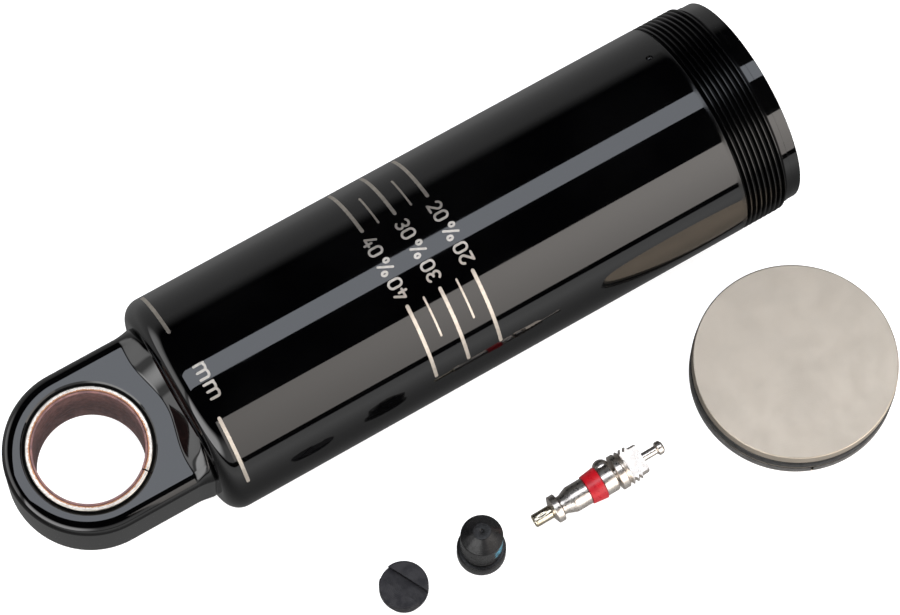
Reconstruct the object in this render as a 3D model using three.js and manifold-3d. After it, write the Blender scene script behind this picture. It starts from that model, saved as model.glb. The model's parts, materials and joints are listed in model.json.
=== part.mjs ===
// Rear shock damper kit: the one-piece damper body with its mounting eyelet and bushing, and, laid
// out in a row beside it, the floating piston, the gas valve core and the two plugs of the gas port.
//
// Millimetres, +Z up. The tube lies on the bench along +X, from the eyelet to the threaded open end.
// The origin is the middle of the kit's footprint, at bench height.

import * as THREE from 'three';
import { mergeVertices } from 'three/addons/utils/BufferGeometryUtils.js';
import Module from 'manifold-3d';

const wasm = await Module();
wasm.setup();

// ---------------------------------------------------------------- driving dimensions

const turn = (degrees) => (degrees * Math.PI) / 180;

// Damper tube. Places along it are measured from the eyelet's centre.
const tubeRadius = 16;
const tubeWall = 1.35;
const eyeToOpenEnd = 104.2;
const shoulderRound = 2.7;
const closedEndThickness = 9;
const boreFloorRound = 3;
const boreMouthChamfer = 0.2;
const lipLength = 1.95;
const lipStep = 0.6;
const lipChamfer = 0.15;
const threadPitch = 0.8;
const threadTurns = 9;
const threadDepth = 0.45;
const threadRunOut = 0.5;
const threadCrestShare = 0.15;
const threadRootShare = 0.55;

// Eyelet and its bushing.
const eyeThickness = 15.2;
const eyeWall = 3.1;
const eyeEdgeRound = 1.8;
const eyeRoll = turn(9);
const neckLength = 1.4;
const neckFillet = 2;
const neckInset = 0.6;
const bushingBoreRadius = 7.5;
const bushingLinerWall = 0.3;
const bushingShellWall = 0.7;
const bushingLength = 15;
const bushingChamfer = 0.3;
const bushingLinerChamfer = 0.02;
const bushingSplit = 0.2;
const bushingSplitAngle = turn(-6);
const bushingSeatChamfer = 0.6;

// Floating piston.
const pistonHeight = 6;
const pistonChamfer = 0.3;
const pistonTopLand = 1.9;
const pistonMidLand = 0.25;
const pistonBottomLand = 0.5;
const sealHeight = 1.9;
const sealSection = 2.2;
const sealCrown = 0.25;
const glideHeight = 1.4;
const glideSection = 1.7;
const glideChamfer = 0.1;
const glideSplit = 0.35;
const glideSplitAngle = turn(-112);

// Valve core, measured along its axis from the tip of the crimped sleeve.
const coreThreadRadius = 2.62;
const coreThreadDepth = 0.4;
const coreThreadPitch = 0.7;
const coreThreadLength = 1.75;
const coreThreadLeadIn = 0.15;
const coreThreadCrestShare = 0.3;
const coreThreadRootShare = 0.8;
const coreTabLength = 2.65;
const coreTabThickness = 2.4;
const coreTabChamfer = 0.3;
const coreStemWall = 0.3;
const coreStemFootDepth = 1.1;
const coreStemNeckDepth = 0.4;
const corePinRadius = 0.62;
const corePinHeadRadius = 1;
const corePinHeadLength = 1.05;
const corePinHeadChamfer = 0.25;
const corePinExposed = 2.4;
const corePinSetBack = 0.3;
const corePinCollarDepth = 1.8;
const corePinCollarLength = 0.4;
const corePinCollarGap = 0.12;
const coreSleeveRadius = 0.97;
const coreSleeveLength = 2.8;
const coreSleeveChamfer = 0.2;
const coreCupRadius = 2.03;
const coreCupHeight = 1.3;
const coreCupWall = 0.4;
const coreCupTaper = 0.45;
const coreCupFootRadius = 1.22;
const coreCupSealChamfer = 0.05;
const coreSpringRoom = 0.37;
const coreSpringFloor = 0.2;
const coreSeatWall = 0.3;
const coreBarrelWall = 0.68;
const coreMouthRadius = 1.4;
const coreMouthLength = 0.5;
const coreMouthPlay = 0.1;
const coreMouthGap = 0.1;
const coreFlareLength = 1.35;
const coreLowerBarrelLength = 2.5;
const coreGasketLength = 2.25;
const coreGasketWall = 0.55;
const coreGasketTaper = 0.28;
const coreSeatTaper = 0.15;
const coreBellBoreStep = 0.28;
const coreBellWall = 0.65;
const coreBellLength = 2.1;
const coreBellLip = 0.3;
const coreBellCurl = 0.35;
const coreFunnelStart = 0.1;
const coreFunnelEnd = 0.4;
const corePlugGap = 0.25;
const coreEarRadius = 0.95;
const coreEarReach = 2;
const coreRoll = turn(-75);
const springWire = 0.28;
const springTurns = 6;

// Plugs of the gas port.
const plugHeadRadius = 3.43;
const plugShankRadius = 2.95;
const plugEdge = 0.25;
const ringSection = 0.95;
const coneHeadHeight = 2.6;
const coneShankLength = 4.5;
const coneLength = 2;
const coneTipRadius = 1.25;
const coneDimpleRadius = 0.35;
const slottedHeadHeight = 2.1;
const slottedFlangeHeight = 1.1;
const slotWidth = 2.1;
const slotDepth = 1.05;
const slotDirection = turn(-63.7);

// The row beside the tube: gaps from one piece to the next, and each piece's small offset from it.
const rowGap = 3.8;
const slottedFromEye = 29.1;
const slottedToCone = 5.3;
const coneToCore = 4.8;
const coreToPiston = 7.5;
const coreOffset = -0.4;
const slottedOffset = 0.45;

// Clearances.
const pressGap = 0.03;
const grooveGap = 0.05;
const runningGap = 0.08;
const pistonGap = 0.18;
const faceGap = 0.05;

// How far a cutting shape runs past what it cuts.
const cutterReach = 1;

// Number of flats round a large, a middling and a small turned piece, and round an O-ring's section.
const largeFlats = 48;
const middleFlats = 24;
const smallFlats = 16;
const ringFlats = 8;

// ---------------------------------------------------------------- sizes that follow

const tubeBoreRadius = tubeRadius - tubeWall;
const bushingOuterRadius = bushingBoreRadius + bushingLinerWall + bushingShellWall;
const eyeBoreRadius = bushingOuterRadius + pressGap;
const eyeRadius = bushingOuterRadius + eyeWall;
const shoulderFace = eyeRadius + neckLength;
const shoulderFlatRadius = tubeRadius - shoulderRound;
const lipStart = eyeToOpenEnd - lipLength;
const threadStart = lipStart - threadRunOut - threadTurns * threadPitch;

const pistonRadius = tubeBoreRadius - pistonGap;
const sealRadius = tubeBoreRadius - runningGap / 2;

const cupStart = coreSleeveLength + faceGap;
const cupEnd = cupStart + coreCupHeight;
const mouthStart = cupEnd + coreMouthGap;
const flareStart = mouthStart + coreMouthLength;
const flareEnd = flareStart + coreFlareLength;
const gasketStart = flareEnd + coreLowerBarrelLength;
const gasketEnd = gasketStart + coreGasketLength;
const bellEnd = gasketEnd + coreBellLength;
const plugStart = bellEnd + corePlugGap;
const threadEnd = plugStart + coreThreadLength;
const tabEnd = threadEnd + coreTabLength;
const pinHeadStart = tabEnd + corePinExposed;
const coreLength = pinHeadStart + corePinHeadLength;
const pinHoleRadius = corePinRadius + runningGap;
const stemNeckRadius = pinHoleRadius + coreStemWall;
const springChamberRadius = corePinRadius + springWire + coreSpringRoom;
const pinCollarRadius = springChamberRadius - corePinCollarGap;
const pinCollarStart = bellEnd - corePinCollarDepth;
const mouthBoreRadius = pinHoleRadius + coreMouthPlay;
const gasketSeatRadius = springChamberRadius + coreSeatWall;
const gasketSmallRadius = gasketSeatRadius + coreGasketWall;
const gasketLargeRadius = gasketSmallRadius + coreGasketTaper;
const barrelRadius = springChamberRadius + coreBarrelWall;
const bellBoreRadius = springChamberRadius + coreBellBoreStep;
const bellRadius = bellBoreRadius + coreBellWall;
const firstCrest = coreThreadLeadIn + coreThreadPitch * coreThreadCrestShare;

const rowY = -(tubeRadius + rowGap + pistonRadius);
const slottedX = slottedFromEye;
const coneX = slottedX + 2 * plugHeadRadius + slottedToCone;
const coreX = coneX + plugHeadRadius + coneToCore;
const pistonX = coreX + coreLength + coreToPiston + pistonRadius;

// ---------------------------------------------------------------- materials

const finish = (name, color, roughness, metalness) =>
  new THREE.MeshStandardMaterial({ name, color, roughness, metalness });

const blackAnodised = finish('black_anodised', 0x0c0c0e, 0.2, 0.6);
const bushingSteel = finish('bushing_steel', 0xc9c4bd, 0.3, 1);
const bushingFabric = finish('bushing_liner', 0x6b4543, 0.6, 0);
const pistonAluminium = finish('piston_aluminium', 0xc8c2ba, 0.4, 1);
const blackRubber = finish('black_rubber', 0x101010, 0.5, 0);
const glidePlastic = finish('glide_plastic', 0x33312f, 0.45, 0);
const nickel = finish('nickel', 0xcfcac2, 0.15, 1);
const brass = finish('brass', 0xbfae7a, 0.25, 1);
const redRubber = finish('red_rubber', 0xc01c26, 0.4, 0);
const springSteel = finish('spring_steel', 0x9a9a9a, 0.3, 1);
const plugBlack = finish('plug_black', 0x1d1c1e, 0.45, 0.3);

// ---------------------------------------------------------------- solid helpers

// Six times the signed volume of a triangle's tetrahedron to the origin.
function signedVolume(position, index) {
  const [a, b, c] = [0, 0, 0].map(() => new THREE.Vector3());
  let total = 0;
  for (let i = 0; i < index.length; i += 3) {
    a.fromBufferAttribute(position, index[i]);
    b.fromBufferAttribute(position, index[i + 1]);
    c.fromBufferAttribute(position, index[i + 2]);
    total += a.dot(b.cross(c));
  }
  return total;
}

// A geometry as one closed skin: shared corners merged, empty triangles dropped, faces outwards.
function closed(geometry) {
  const bare = new THREE.BufferGeometry();
  bare.setAttribute('position', geometry.getAttribute('position').clone());
  if (geometry.index) bare.setIndex(geometry.index.clone());
  const skin = mergeVertices(bare, 1e-4);
  const source = skin.index.array;
  const kept = [];
  for (let i = 0; i < source.length; i += 3) {
    const [a, b, c] = [source[i], source[i + 1], source[i + 2]];
    if (a !== b && b !== c && c !== a) kept.push(a, b, c);
  }
  if (signedVolume(skin.getAttribute('position'), kept) < 0) kept.reverse();
  skin.setIndex(kept);
  return skin;
}

function solid(geometry) {
  const skin = closed(geometry);
  return new wasm.Manifold(
    new wasm.Mesh({
      numProp: 3,
      vertProperties: new Float32Array(skin.getAttribute('position').array),
      triVerts: new Uint32Array(skin.index.array),
    }),
  );
}

function geometryOf(manifold) {
  const mesh = manifold.getMesh();
  const geometry = new THREE.BufferGeometry();
  geometry.setAttribute('position', new THREE.BufferAttribute(mesh.vertProperties, 3));
  geometry.setIndex(new THREE.BufferAttribute(mesh.triVerts, 1));
  return geometry;
}

// A piece turned about +Z from [height, radius] stations, starting and ending on the axis or, as a
// ring, closing on its first station.
function turned(stations, flats) {
  const points = stations.map(([height, radius]) => new THREE.Vector2(radius, height));
  return closed(new THREE.LatheGeometry(points, flats).rotateX(Math.PI / 2));
}

const turnedAlongX = (stations, flats) => turned(stations, flats).rotateY(Math.PI / 2);

const ring = (stations) => [...stations, stations[0]];

// A ring of rectangular section with its outer edges broken.
function plainRing(low, high, inner, outer, edge) {
  return ring([
    [low, inner],
    [low, outer - edge],
    [low + edge, outer],
    [high - edge, outer],
    [high, outer - edge],
    [high, inner],
  ]);
}

// Stations along a quarter round, from the angle `from` to the angle `to`.
function quarter(centreHeight, centreRadius, size, from, to, steps = 4) {
  return Array.from({ length: steps + 1 }, (_, i) => {
    const angle = from + ((to - from) * i) / steps;
    return [centreHeight + size * Math.sin(angle), centreRadius + size * Math.cos(angle)];
  });
}

// A block centred on a point.
function block(width, depth, height, x, y, z) {
  return new THREE.BoxGeometry(width, depth, height).translate(x, y, z);
}

function cut(body, ...tools) {
  return geometryOf(tools.reduce((rest, tool) => rest.subtract(solid(tool)), solid(body)));
}

function piece(name, geometry, material) {
  const mesh = new THREE.Mesh(geometry, material);
  mesh.name = name;
  return mesh;
}

// ---------------------------------------------------------------- damper body

// Crest and root stations of the ring grooves that stand for the thread.
function threadStations() {
  const root = tubeRadius - threadDepth;
  const stations = [];
  for (let i = 0; i < threadTurns; i += 1) {
    const start = threadStart + i * threadPitch;
    stations.push([start + threadPitch * threadCrestShare, tubeRadius]);
    stations.push([start + threadPitch * threadRootShare, root]);
  }
  stations.push([lipStart - threadRunOut, tubeRadius - threadDepth / 2]);
  stations.push([lipStart - threadRunOut / 2, tubeRadius - lipStep]);
  return stations;
}

// The tube: rounded shoulder, plain barrel, thread, pilot lip and blind bore.
function tubeGeometry() {
  const lipRadius = tubeRadius - lipStep;
  const floor = shoulderFace + closedEndThickness;
  return turnedAlongX(
    [
      [shoulderFace, 0],
      ...quarter(shoulderFace + shoulderRound, shoulderFlatRadius, shoulderRound, -Math.PI / 2, 0, 5),
      ...threadStations(),
      [eyeToOpenEnd - lipChamfer, lipRadius],
      [eyeToOpenEnd, lipRadius - lipChamfer],
      [eyeToOpenEnd, tubeBoreRadius + boreMouthChamfer],
      [eyeToOpenEnd - boreMouthChamfer, tubeBoreRadius],
      ...quarter(floor + boreFloorRound, tubeBoreRadius - boreFloorRound, boreFloorRound, 0, -Math.PI / 2, 3),
      [floor, 0],
    ],
    largeFlats,
  );
}

// Plan outline of the eyelet: a round nose whose straight sides run back into the tube's end.
function eyeletOutline() {
  const end = shoulderFace + shoulderRound;
  const outline = new THREE.Shape();
  outline.moveTo(end, -eyeRadius);
  outline.lineTo(end, eyeRadius);
  outline.lineTo(0, eyeRadius);
  outline.absarc(0, 0, eyeRadius, Math.PI / 2, (3 * Math.PI) / 2, false);
  outline.closePath();
  return outline;
}

function eyeletPlate() {
  return new THREE.ExtrudeGeometry(eyeletOutline(), {
    depth: eyeThickness - 2 * eyeEdgeRound,
    curveSegments: 24,
    bevelEnabled: true,
    bevelThickness: eyeEdgeRound,
    bevelSize: eyeEdgeRound,
    bevelOffset: -eyeEdgeRound,
    bevelSegments: 3,
  }).translate(0, 0, -eyeThickness / 2 + eyeEdgeRound);
}

// Outline that flares from a half width to the shoulder face by the neck's fillet.
function flareOutline(halfWidth) {
  const start = shoulderFace - neckFillet;
  const end = shoulderFace + shoulderRound;
  const outline = new THREE.Shape();
  outline.moveTo(start, -halfWidth);
  outline.absarc(start, -halfWidth - neckFillet, neckFillet, Math.PI / 2, 0, true);
  outline.lineTo(end, -halfWidth - neckFillet);
  outline.lineTo(end, halfWidth + neckFillet);
  outline.lineTo(start + neckFillet, halfWidth + neckFillet);
  outline.absarc(start, halfWidth + neckFillet, neckFillet, 0, -Math.PI / 2, true);
  outline.closePath();
  return outline;
}

// A flare of full height: the outline extruded across the tube's diameter.
function flareBlock(halfWidth) {
  const settings = { depth: 2 * tubeRadius, curveSegments: 4, bevelEnabled: false };
  return new THREE.ExtrudeGeometry(flareOutline(halfWidth), settings).translate(0, 0, -tubeRadius);
}

// The fillets between eyelet and shoulder, kept inside the shoulder's flat.
function neckSolid() {
  const start = shoulderFace - neckFillet;
  const end = shoulderFace + shoulderRound;
  const limit = [[start, 0], [start, shoulderFlatRadius], [end, shoulderFlatRadius], [end, 0]];
  const sides = solid(flareBlock(eyeRadius - neckInset));
  const faces = solid(flareBlock(eyeThickness / 2).rotateX(Math.PI / 2));
  return sides.intersect(faces).intersect(solid(turnedAlongX(limit, largeFlats)));
}

// The bushing's seat through the eyelet, chamfered at both faces.
function eyeBoreCutter() {
  const half = eyeThickness / 2;
  const wide = eyeBoreRadius + bushingSeatChamfer + cutterReach;
  return turned(
    [
      [-half - cutterReach, 0],
      [-half - cutterReach, wide],
      [-half + bushingSeatChamfer, eyeBoreRadius],
      [half - bushingSeatChamfer, eyeBoreRadius],
      [half + cutterReach, wide],
      [half + cutterReach, 0],
    ],
    largeFlats,
  );
}

function damperBodyGeometry() {
  const eyelet = solid(eyeletPlate()).add(neckSolid()).subtract(solid(eyeBoreCutter()));
  const rolled = solid(geometryOf(eyelet).rotateX(eyeRoll));
  return geometryOf(solid(tubeGeometry()).add(rolled));
}

// ---------------------------------------------------------------- bushing

// One wall of the split bushing, slit along its length.
function splitSleeve(inner, outer, edge) {
  const half = bushingLength / 2;
  const slit = block(outer, bushingSplit, bushingLength + cutterReach, outer, 0, 0);
  return cut(turned(plainRing(-half, half, inner, outer, edge), largeFlats), slit.rotateZ(bushingSplitAngle));
}

function bushingGroup() {
  const seam = bushingBoreRadius + bushingLinerWall;
  const shell = splitSleeve(seam + pressGap, bushingOuterRadius, bushingChamfer);
  const liner = splitSleeve(bushingBoreRadius, seam, bushingLinerChamfer);
  const group = new THREE.Group();
  group.add(piece('bushing_shell', shell, bushingSteel), piece('bushing_liner', liner, bushingFabric));
  group.rotation.x = eyeRoll;
  return group;
}

function damperGroup() {
  const group = new THREE.Group();
  group.add(piece('damper_body', damperBodyGeometry(), blackAnodised), bushingGroup());
  group.position.z = tubeRadius;
  return group;
}

// ---------------------------------------------------------------- floating piston

const glideLow = pistonBottomLand;
const glideHigh = glideLow + glideHeight;
const sealLow = glideHigh + pistonMidLand;
const sealHigh = pistonHeight - pistonTopLand;

function pistonGeometry() {
  const glideFloor = pistonRadius - glideSection;
  const sealFloor = pistonRadius - sealSection;
  return turned(
    [
      [0, 0],
      [0, pistonRadius - pistonChamfer],
      [pistonChamfer, pistonRadius],
      [glideLow, pistonRadius],
      [glideLow, glideFloor],
      [glideHigh, glideFloor],
      [glideHigh, pistonRadius],
      [sealLow, pistonRadius],
      [sealLow, sealFloor],
      [sealHigh, sealFloor],
      [sealHigh, pistonRadius],
      [pistonHeight - pistonChamfer, pistonRadius],
      [pistonHeight, pistonRadius - pistonChamfer],
      [pistonHeight, 0],
    ],
    largeFlats,
  );
}

// The piston's seal: a square ring with a crowned rubbing face.
function sealGeometry() {
  const inner = pistonRadius - sealSection + grooveGap;
  const low = sealLow + grooveGap;
  const high = sealHigh - grooveGap;
  return turned(plainRing(low, high, inner, sealRadius, sealCrown), largeFlats);
}

function glideGeometry() {
  const inner = pistonRadius - glideSection + grooveGap;
  const low = glideLow + grooveGap;
  const high = glideHigh - grooveGap;
  const band = turned(plainRing(low, high, inner, sealRadius, glideChamfer), largeFlats);
  const slit = block(4 * glideSection, glideSplit, 2 * pistonHeight, pistonRadius, 0, 0);
  return cut(band, slit.rotateZ(glideSplitAngle));
}

function floatingPistonGroup() {
  const group = new THREE.Group();
  group.add(
    piece('ifp_piston', pistonGeometry(), pistonAluminium),
    piece('ifp_seal', sealGeometry(), blackRubber),
    piece('ifp_glide_ring', glideGeometry(), glidePlastic),
  );
  group.position.set(pistonX, rowY, 0);
  return group;
}

// ---------------------------------------------------------------- valve core

function coreSleeveGeometry() {
  const walls = plainRing(0, coreSleeveLength, pinHoleRadius, coreSleeveRadius, coreSleeveChamfer);
  return turnedAlongX(walls, smallFlats);
}

// The pin: rivet end in the sleeve, spring collar inside the barrel, round head at the top.
function corePinGeometry() {
  const collarEnd = pinCollarStart + corePinCollarLength;
  return turnedAlongX(
    [
      [corePinSetBack, 0],
      [corePinSetBack, corePinRadius],
      [pinCollarStart, corePinRadius],
      [pinCollarStart, pinCollarRadius],
      [collarEnd, pinCollarRadius],
      [collarEnd, corePinRadius],
      [pinHeadStart, corePinRadius],
      [pinHeadStart, corePinHeadRadius - corePinHeadChamfer],
      [pinHeadStart + corePinHeadChamfer, corePinHeadRadius],
      [coreLength - corePinHeadChamfer, corePinHeadRadius],
      [coreLength, corePinHeadRadius - corePinHeadChamfer],
      [coreLength, 0],
    ],
    smallFlats,
  );
}

// The cup under the barrel's mouth that carries the sealing washer.
function coreCupGeometry() {
  return turnedAlongX(
    ring([
      [cupStart, pinHoleRadius],
      [cupStart, coreCupFootRadius],
      [cupStart + coreCupTaper, coreCupRadius],
      [cupEnd, coreCupRadius],
      [cupEnd, coreCupRadius - coreCupWall],
      [cupStart + coreCupWall, coreCupRadius - coreCupWall],
      [cupStart + coreCupWall, pinHoleRadius],
    ]),
    smallFlats,
  );
}

function coreCupSealGeometry() {
  const outer = coreCupRadius - coreCupWall - faceGap;
  const low = cupStart + coreCupWall + faceGap;
  return turnedAlongX(plainRing(low, cupEnd, pinHoleRadius, outer, coreCupSealChamfer), smallFlats);
}

// The barrel: mouth and flare, lower barrel, gasket seat, and the bell that holds the swivel plug.
function coreBarrelTurning() {
  const lipRadius = stemNeckRadius + runningGap;
  return turnedAlongX(
    ring([
      [mouthStart, mouthBoreRadius],
      [mouthStart, coreMouthRadius],
      [flareStart, coreMouthRadius],
      [flareEnd, barrelRadius],
      [gasketStart - faceGap, barrelRadius],
      [gasketStart - faceGap, gasketSeatRadius],
      [gasketEnd + faceGap, gasketSeatRadius + coreSeatTaper],
      [gasketEnd + faceGap, bellRadius],
      [bellEnd - coreBellLip, bellRadius],
      [bellEnd, bellRadius - coreBellCurl],
      [bellEnd, lipRadius],
      [bellEnd - coreBellLip, lipRadius],
      [bellEnd - coreBellLip, bellBoreRadius],
      [gasketEnd + coreFunnelEnd, bellBoreRadius],
      [gasketEnd - coreFunnelStart, springChamberRadius],
      [flareEnd - coreSpringFloor, springChamberRadius],
      [flareEnd - coreSpringFloor, mouthBoreRadius],
    ]),
    smallFlats,
  );
}

// A rounded ear pressed out of the bell on one side.
function coreEarGeometry() {
  const middle = (gasketEnd + bellEnd) / 2;
  const ear = new THREE.SphereGeometry(coreEarRadius, 12, 8);
  return ear.translate(middle, 0, coreEarReach).rotateX(coreRoll);
}

function coreBarrelGeometry() {
  const start = gasketEnd + faceGap;
  const reach = coreEarReach + coreEarRadius + cutterReach;
  const past = bellEnd + cutterReach;
  const keepClear = turnedAlongX([[start, 0], [start, reach], [bellEnd, reach], [bellEnd, 0]], smallFlats);
  const hollow = turnedAlongX(
    [[gasketStart, 0], [gasketStart, bellBoreRadius], [past, bellBoreRadius], [past, 0]],
    smallFlats,
  );
  const ear = solid(coreEarGeometry()).intersect(solid(keepClear)).subtract(solid(hollow));
  return geometryOf(solid(coreBarrelTurning()).add(ear));
}

function coreGasketGeometry() {
  const inner = gasketSeatRadius + coreSeatTaper + faceGap;
  return turnedAlongX(
    ring([
      [gasketStart, inner],
      [gasketStart, gasketSmallRadius],
      [gasketEnd, gasketLargeRadius],
      [gasketEnd, inner],
    ]),
    smallFlats,
  );
}

// The swivel plug: retained stem, threaded head and the flat tab that a valve tool turns.
function corePlugGeometry() {
  const root = coreThreadRadius - coreThreadDepth;
  const footRadius = bellBoreRadius - runningGap;
  const stations = [
    [bellEnd - coreStemFootDepth, pinHoleRadius],
    [bellEnd - coreStemFootDepth, footRadius],
    [bellEnd - coreStemNeckDepth, footRadius],
    [bellEnd - coreStemNeckDepth, stemNeckRadius],
    [plugStart, stemNeckRadius],
    [plugStart, root],
  ];
  for (let crest = plugStart + firstCrest; crest < tabEnd - coreThreadPitch; crest += coreThreadPitch) {
    const rootStep = coreThreadPitch * (coreThreadRootShare - coreThreadCrestShare);
    stations.push([crest, coreThreadRadius], [crest + rootStep, root]);
  }
  stations.push([tabEnd - coreTabChamfer, root], [tabEnd, root - coreTabChamfer], [tabEnd, pinHoleRadius]);
  const length = tabEnd - threadEnd + cutterReach;
  const middle = threadEnd + length / 2;
  const aside = (coreTabThickness + coreThreadRadius * 2) / 2;
  const flats = [-aside, aside].map((y) =>
    block(length, coreThreadRadius * 2, coreThreadRadius * 3, middle, y, 0).rotateX(coreRoll),
  );
  return cut(turnedAlongX(ring(stations), smallFlats), ...flats);
}

// The return spring, coiled round the pin between the barrel's floor and the pin's collar.
function coreSpringGeometry() {
  class Coil extends THREE.Curve {
    getPoint(t, target = new THREE.Vector3()) {
      const start = flareEnd + springWire;
      const end = pinCollarStart - springWire;
      const angle = t * springTurns * 2 * Math.PI;
      const radius = (pinHoleRadius + springChamberRadius) / 2;
      return target.set(start + (end - start) * t, radius * Math.cos(angle), radius * Math.sin(angle));
    }
  }
  const section = new THREE.Shape();
  section.absarc(0, 0, springWire / 2, 0, 2 * Math.PI, false);
  return closed(
    new THREE.ExtrudeGeometry(section, { steps: springTurns * 8, curveSegments: 3, extrudePath: new Coil() }),
  );
}

// The core lies on the bench on its cup and on its first thread crest.
function valveCoreGroup() {
  const cupContact = cupStart + coreCupTaper;
  const crestContact = plugStart + firstCrest;
  const tilt = Math.atan2(coreThreadRadius - coreCupRadius, crestContact - cupContact);
  const group = new THREE.Group();
  group.add(
    piece('core_sleeve', coreSleeveGeometry(), brass),
    piece('core_pin', corePinGeometry(), nickel),
    piece('core_cup', coreCupGeometry(), nickel),
    piece('core_cup_seal', coreCupSealGeometry(), blackRubber),
    piece('core_barrel', coreBarrelGeometry(), nickel),
    piece('core_gasket', coreGasketGeometry(), redRubber),
    piece('core_plug', corePlugGeometry(), nickel),
    piece('core_spring', coreSpringGeometry(), springSteel),
  );
  group.rotation.y = -tilt;
  group.position.set(coreX, rowY + coreOffset, coreCupRadius * Math.cos(tilt) - cupContact * Math.sin(tilt));
  return group;
}

// ---------------------------------------------------------------- plugs

// An O-ring: a round section in a groove that starts at `low`.
function oRing(low, outer) {
  const half = ringSection / 2 - grooveGap;
  const stations = Array.from({ length: ringFlats }, (_, i) => {
    const angle = (i * 2 * Math.PI) / ringFlats;
    return [low + ringSection / 2 + half * Math.sin(angle), outer - half + half * Math.cos(angle)];
  });
  return turned(ring(stations), middleFlats);
}

const grooveFloor = plugShankRadius - ringSection;
const coneShankStart = coneHeadHeight + ringSection;
const coneStart = coneShankStart + coneShankLength;

// The cone-ended sealing plug, standing on its head.
function conePlugGeometry() {
  const tip = coneStart + coneLength;
  return turned(
    [
      [0, 0],
      [0, plugHeadRadius - plugEdge],
      [plugEdge, plugHeadRadius],
      [coneHeadHeight - plugEdge, plugHeadRadius],
      [coneHeadHeight, plugHeadRadius - plugEdge],
      [coneHeadHeight, grooveFloor],
      [coneShankStart, grooveFloor],
      [coneShankStart, plugShankRadius],
      [coneStart, plugShankRadius],
      [tip, coneTipRadius],
      [tip, coneDimpleRadius],
      [tip - coneDimpleRadius, 0],
    ],
    middleFlats,
  );
}

function conePlugGroup() {
  const group = new THREE.Group();
  group.add(
    piece('cone_plug', conePlugGeometry(), plugBlack),
    piece('cone_plug_o_ring', oRing(coneHeadHeight, plugShankRadius - grooveGap), blackRubber),
  );
  group.position.set(coneX, rowY, 0);
  return group;
}

// The slotted cover plug, standing on its flange with the slot up.
function slottedPlugGeometry() {
  const headStart = slottedFlangeHeight + ringSection;
  const top = headStart + slottedHeadHeight;
  const blank = turned(
    [
      [0, 0],
      [0, plugShankRadius - plugEdge],
      [plugEdge, plugShankRadius],
      [slottedFlangeHeight, plugShankRadius],
      [slottedFlangeHeight, grooveFloor],
      [headStart, grooveFloor],
      [headStart, plugHeadRadius - plugEdge],
      [headStart + plugEdge, plugHeadRadius],
      [top - plugEdge, plugHeadRadius],
      [top, plugHeadRadius - plugEdge],
      [top, 0],
    ],
    middleFlats,
  );
  const slot = block(3 * plugHeadRadius, slotWidth, 2 * slotDepth, 0, 0, top);
  return cut(blank, slot.rotateZ(slotDirection));
}

function slottedPlugGroup() {
  const group = new THREE.Group();
  group.add(
    piece('slotted_plug', slottedPlugGeometry(), plugBlack),
    piece('slotted_plug_o_ring', oRing(slottedFlangeHeight, plugShankRadius - grooveGap), blackRubber),
  );
  group.position.set(slottedX, rowY + slottedOffset, 0);
  return group;
}

// ---------------------------------------------------------------- the kit

const kit = new THREE.Group();
kit.add(damperGroup(), floatingPistonGroup(), valveCoreGroup(), conePlugGroup(), slottedPlugGroup());

const footprint = new THREE.Box3().setFromObject(kit, true);
const middle = footprint.getCenter(new THREE.Vector3());
kit.position.set(-middle.x, -middle.y, -footprint.min.z);

export default kit;
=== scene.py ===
"""Rear shock damper kit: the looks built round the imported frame.

A gloss black damper body with a bushed eyelet, a threaded open end and an etched stroke scale lies
beside its floating piston, gas valve core and two port plugs. Sizes are in millimetres, in each
piece's own frame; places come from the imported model.
"""

import json
import logging
import math
from collections.abc import Callable, Iterable, Sequence
from dataclasses import dataclass, field
from enum import Enum

import bmesh
import bpy
from mathutils import Euler, Matrix, Vector
from mathutils.geometry import delaunay_2d_cdt


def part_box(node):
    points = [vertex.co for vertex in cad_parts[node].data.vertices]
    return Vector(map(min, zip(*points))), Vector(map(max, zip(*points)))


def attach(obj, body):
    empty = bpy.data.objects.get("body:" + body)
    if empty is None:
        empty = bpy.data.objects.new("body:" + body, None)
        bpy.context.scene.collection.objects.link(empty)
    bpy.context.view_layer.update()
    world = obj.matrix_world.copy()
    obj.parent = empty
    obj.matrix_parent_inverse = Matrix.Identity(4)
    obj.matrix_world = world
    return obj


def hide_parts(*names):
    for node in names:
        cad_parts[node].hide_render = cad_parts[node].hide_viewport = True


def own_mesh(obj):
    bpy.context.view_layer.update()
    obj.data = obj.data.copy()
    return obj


LOG = logging.getLogger("damper_kit")

MM = 0.001
WELD = 1e-4
FULL = math.tau

Colour = tuple[float, float, float]
Point = tuple[float, ...]
Shape = bmesh.types.BMesh
Socket = bpy.types.NodeSocket


class Body(Enum):
    """The bodies that pieces ride on."""

    DAMPER = "damper"
    PISTON = "floating_piston"
    BARREL = "valve_barrel"
    PLUG = "valve_plug"
    PIN = "valve_pin"
    CONE = "cone_plug_set"
    SLOTTED = "slotted_plug_set"


class Slot(Enum):
    """The record's material slots."""

    BLACK_ANODISED = "black_anodised"
    SCALE_MARKS = "scale_marks"
    BUSHING_STEEL = "bushing_steel"
    BUSHING_LINER = "bushing_liner"
    PISTON = "piston_aluminium"
    BLACK_RUBBER = "black_rubber"
    GLIDE_PLASTIC = "glide_plastic"
    NICKEL = "nickel"
    BRASS = "brass_sleeve"
    RED_RUBBER = "red_rubber"
    SPRING = "spring_steel"
    PLUG_BLACK = "plug_black"


class Cut(Enum):
    """How one solid is combined with another."""

    TAKE_AWAY = "DIFFERENCE"
    ADD = "UNION"


class Lines(Enum):
    """Which way the cutter's lines run on a turned surface."""

    NONE = "none"
    ROUND_AXIS = "round_axis"
    ON_FACE = "on_face"


# ---------------------------------------------------------------- materials


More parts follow.
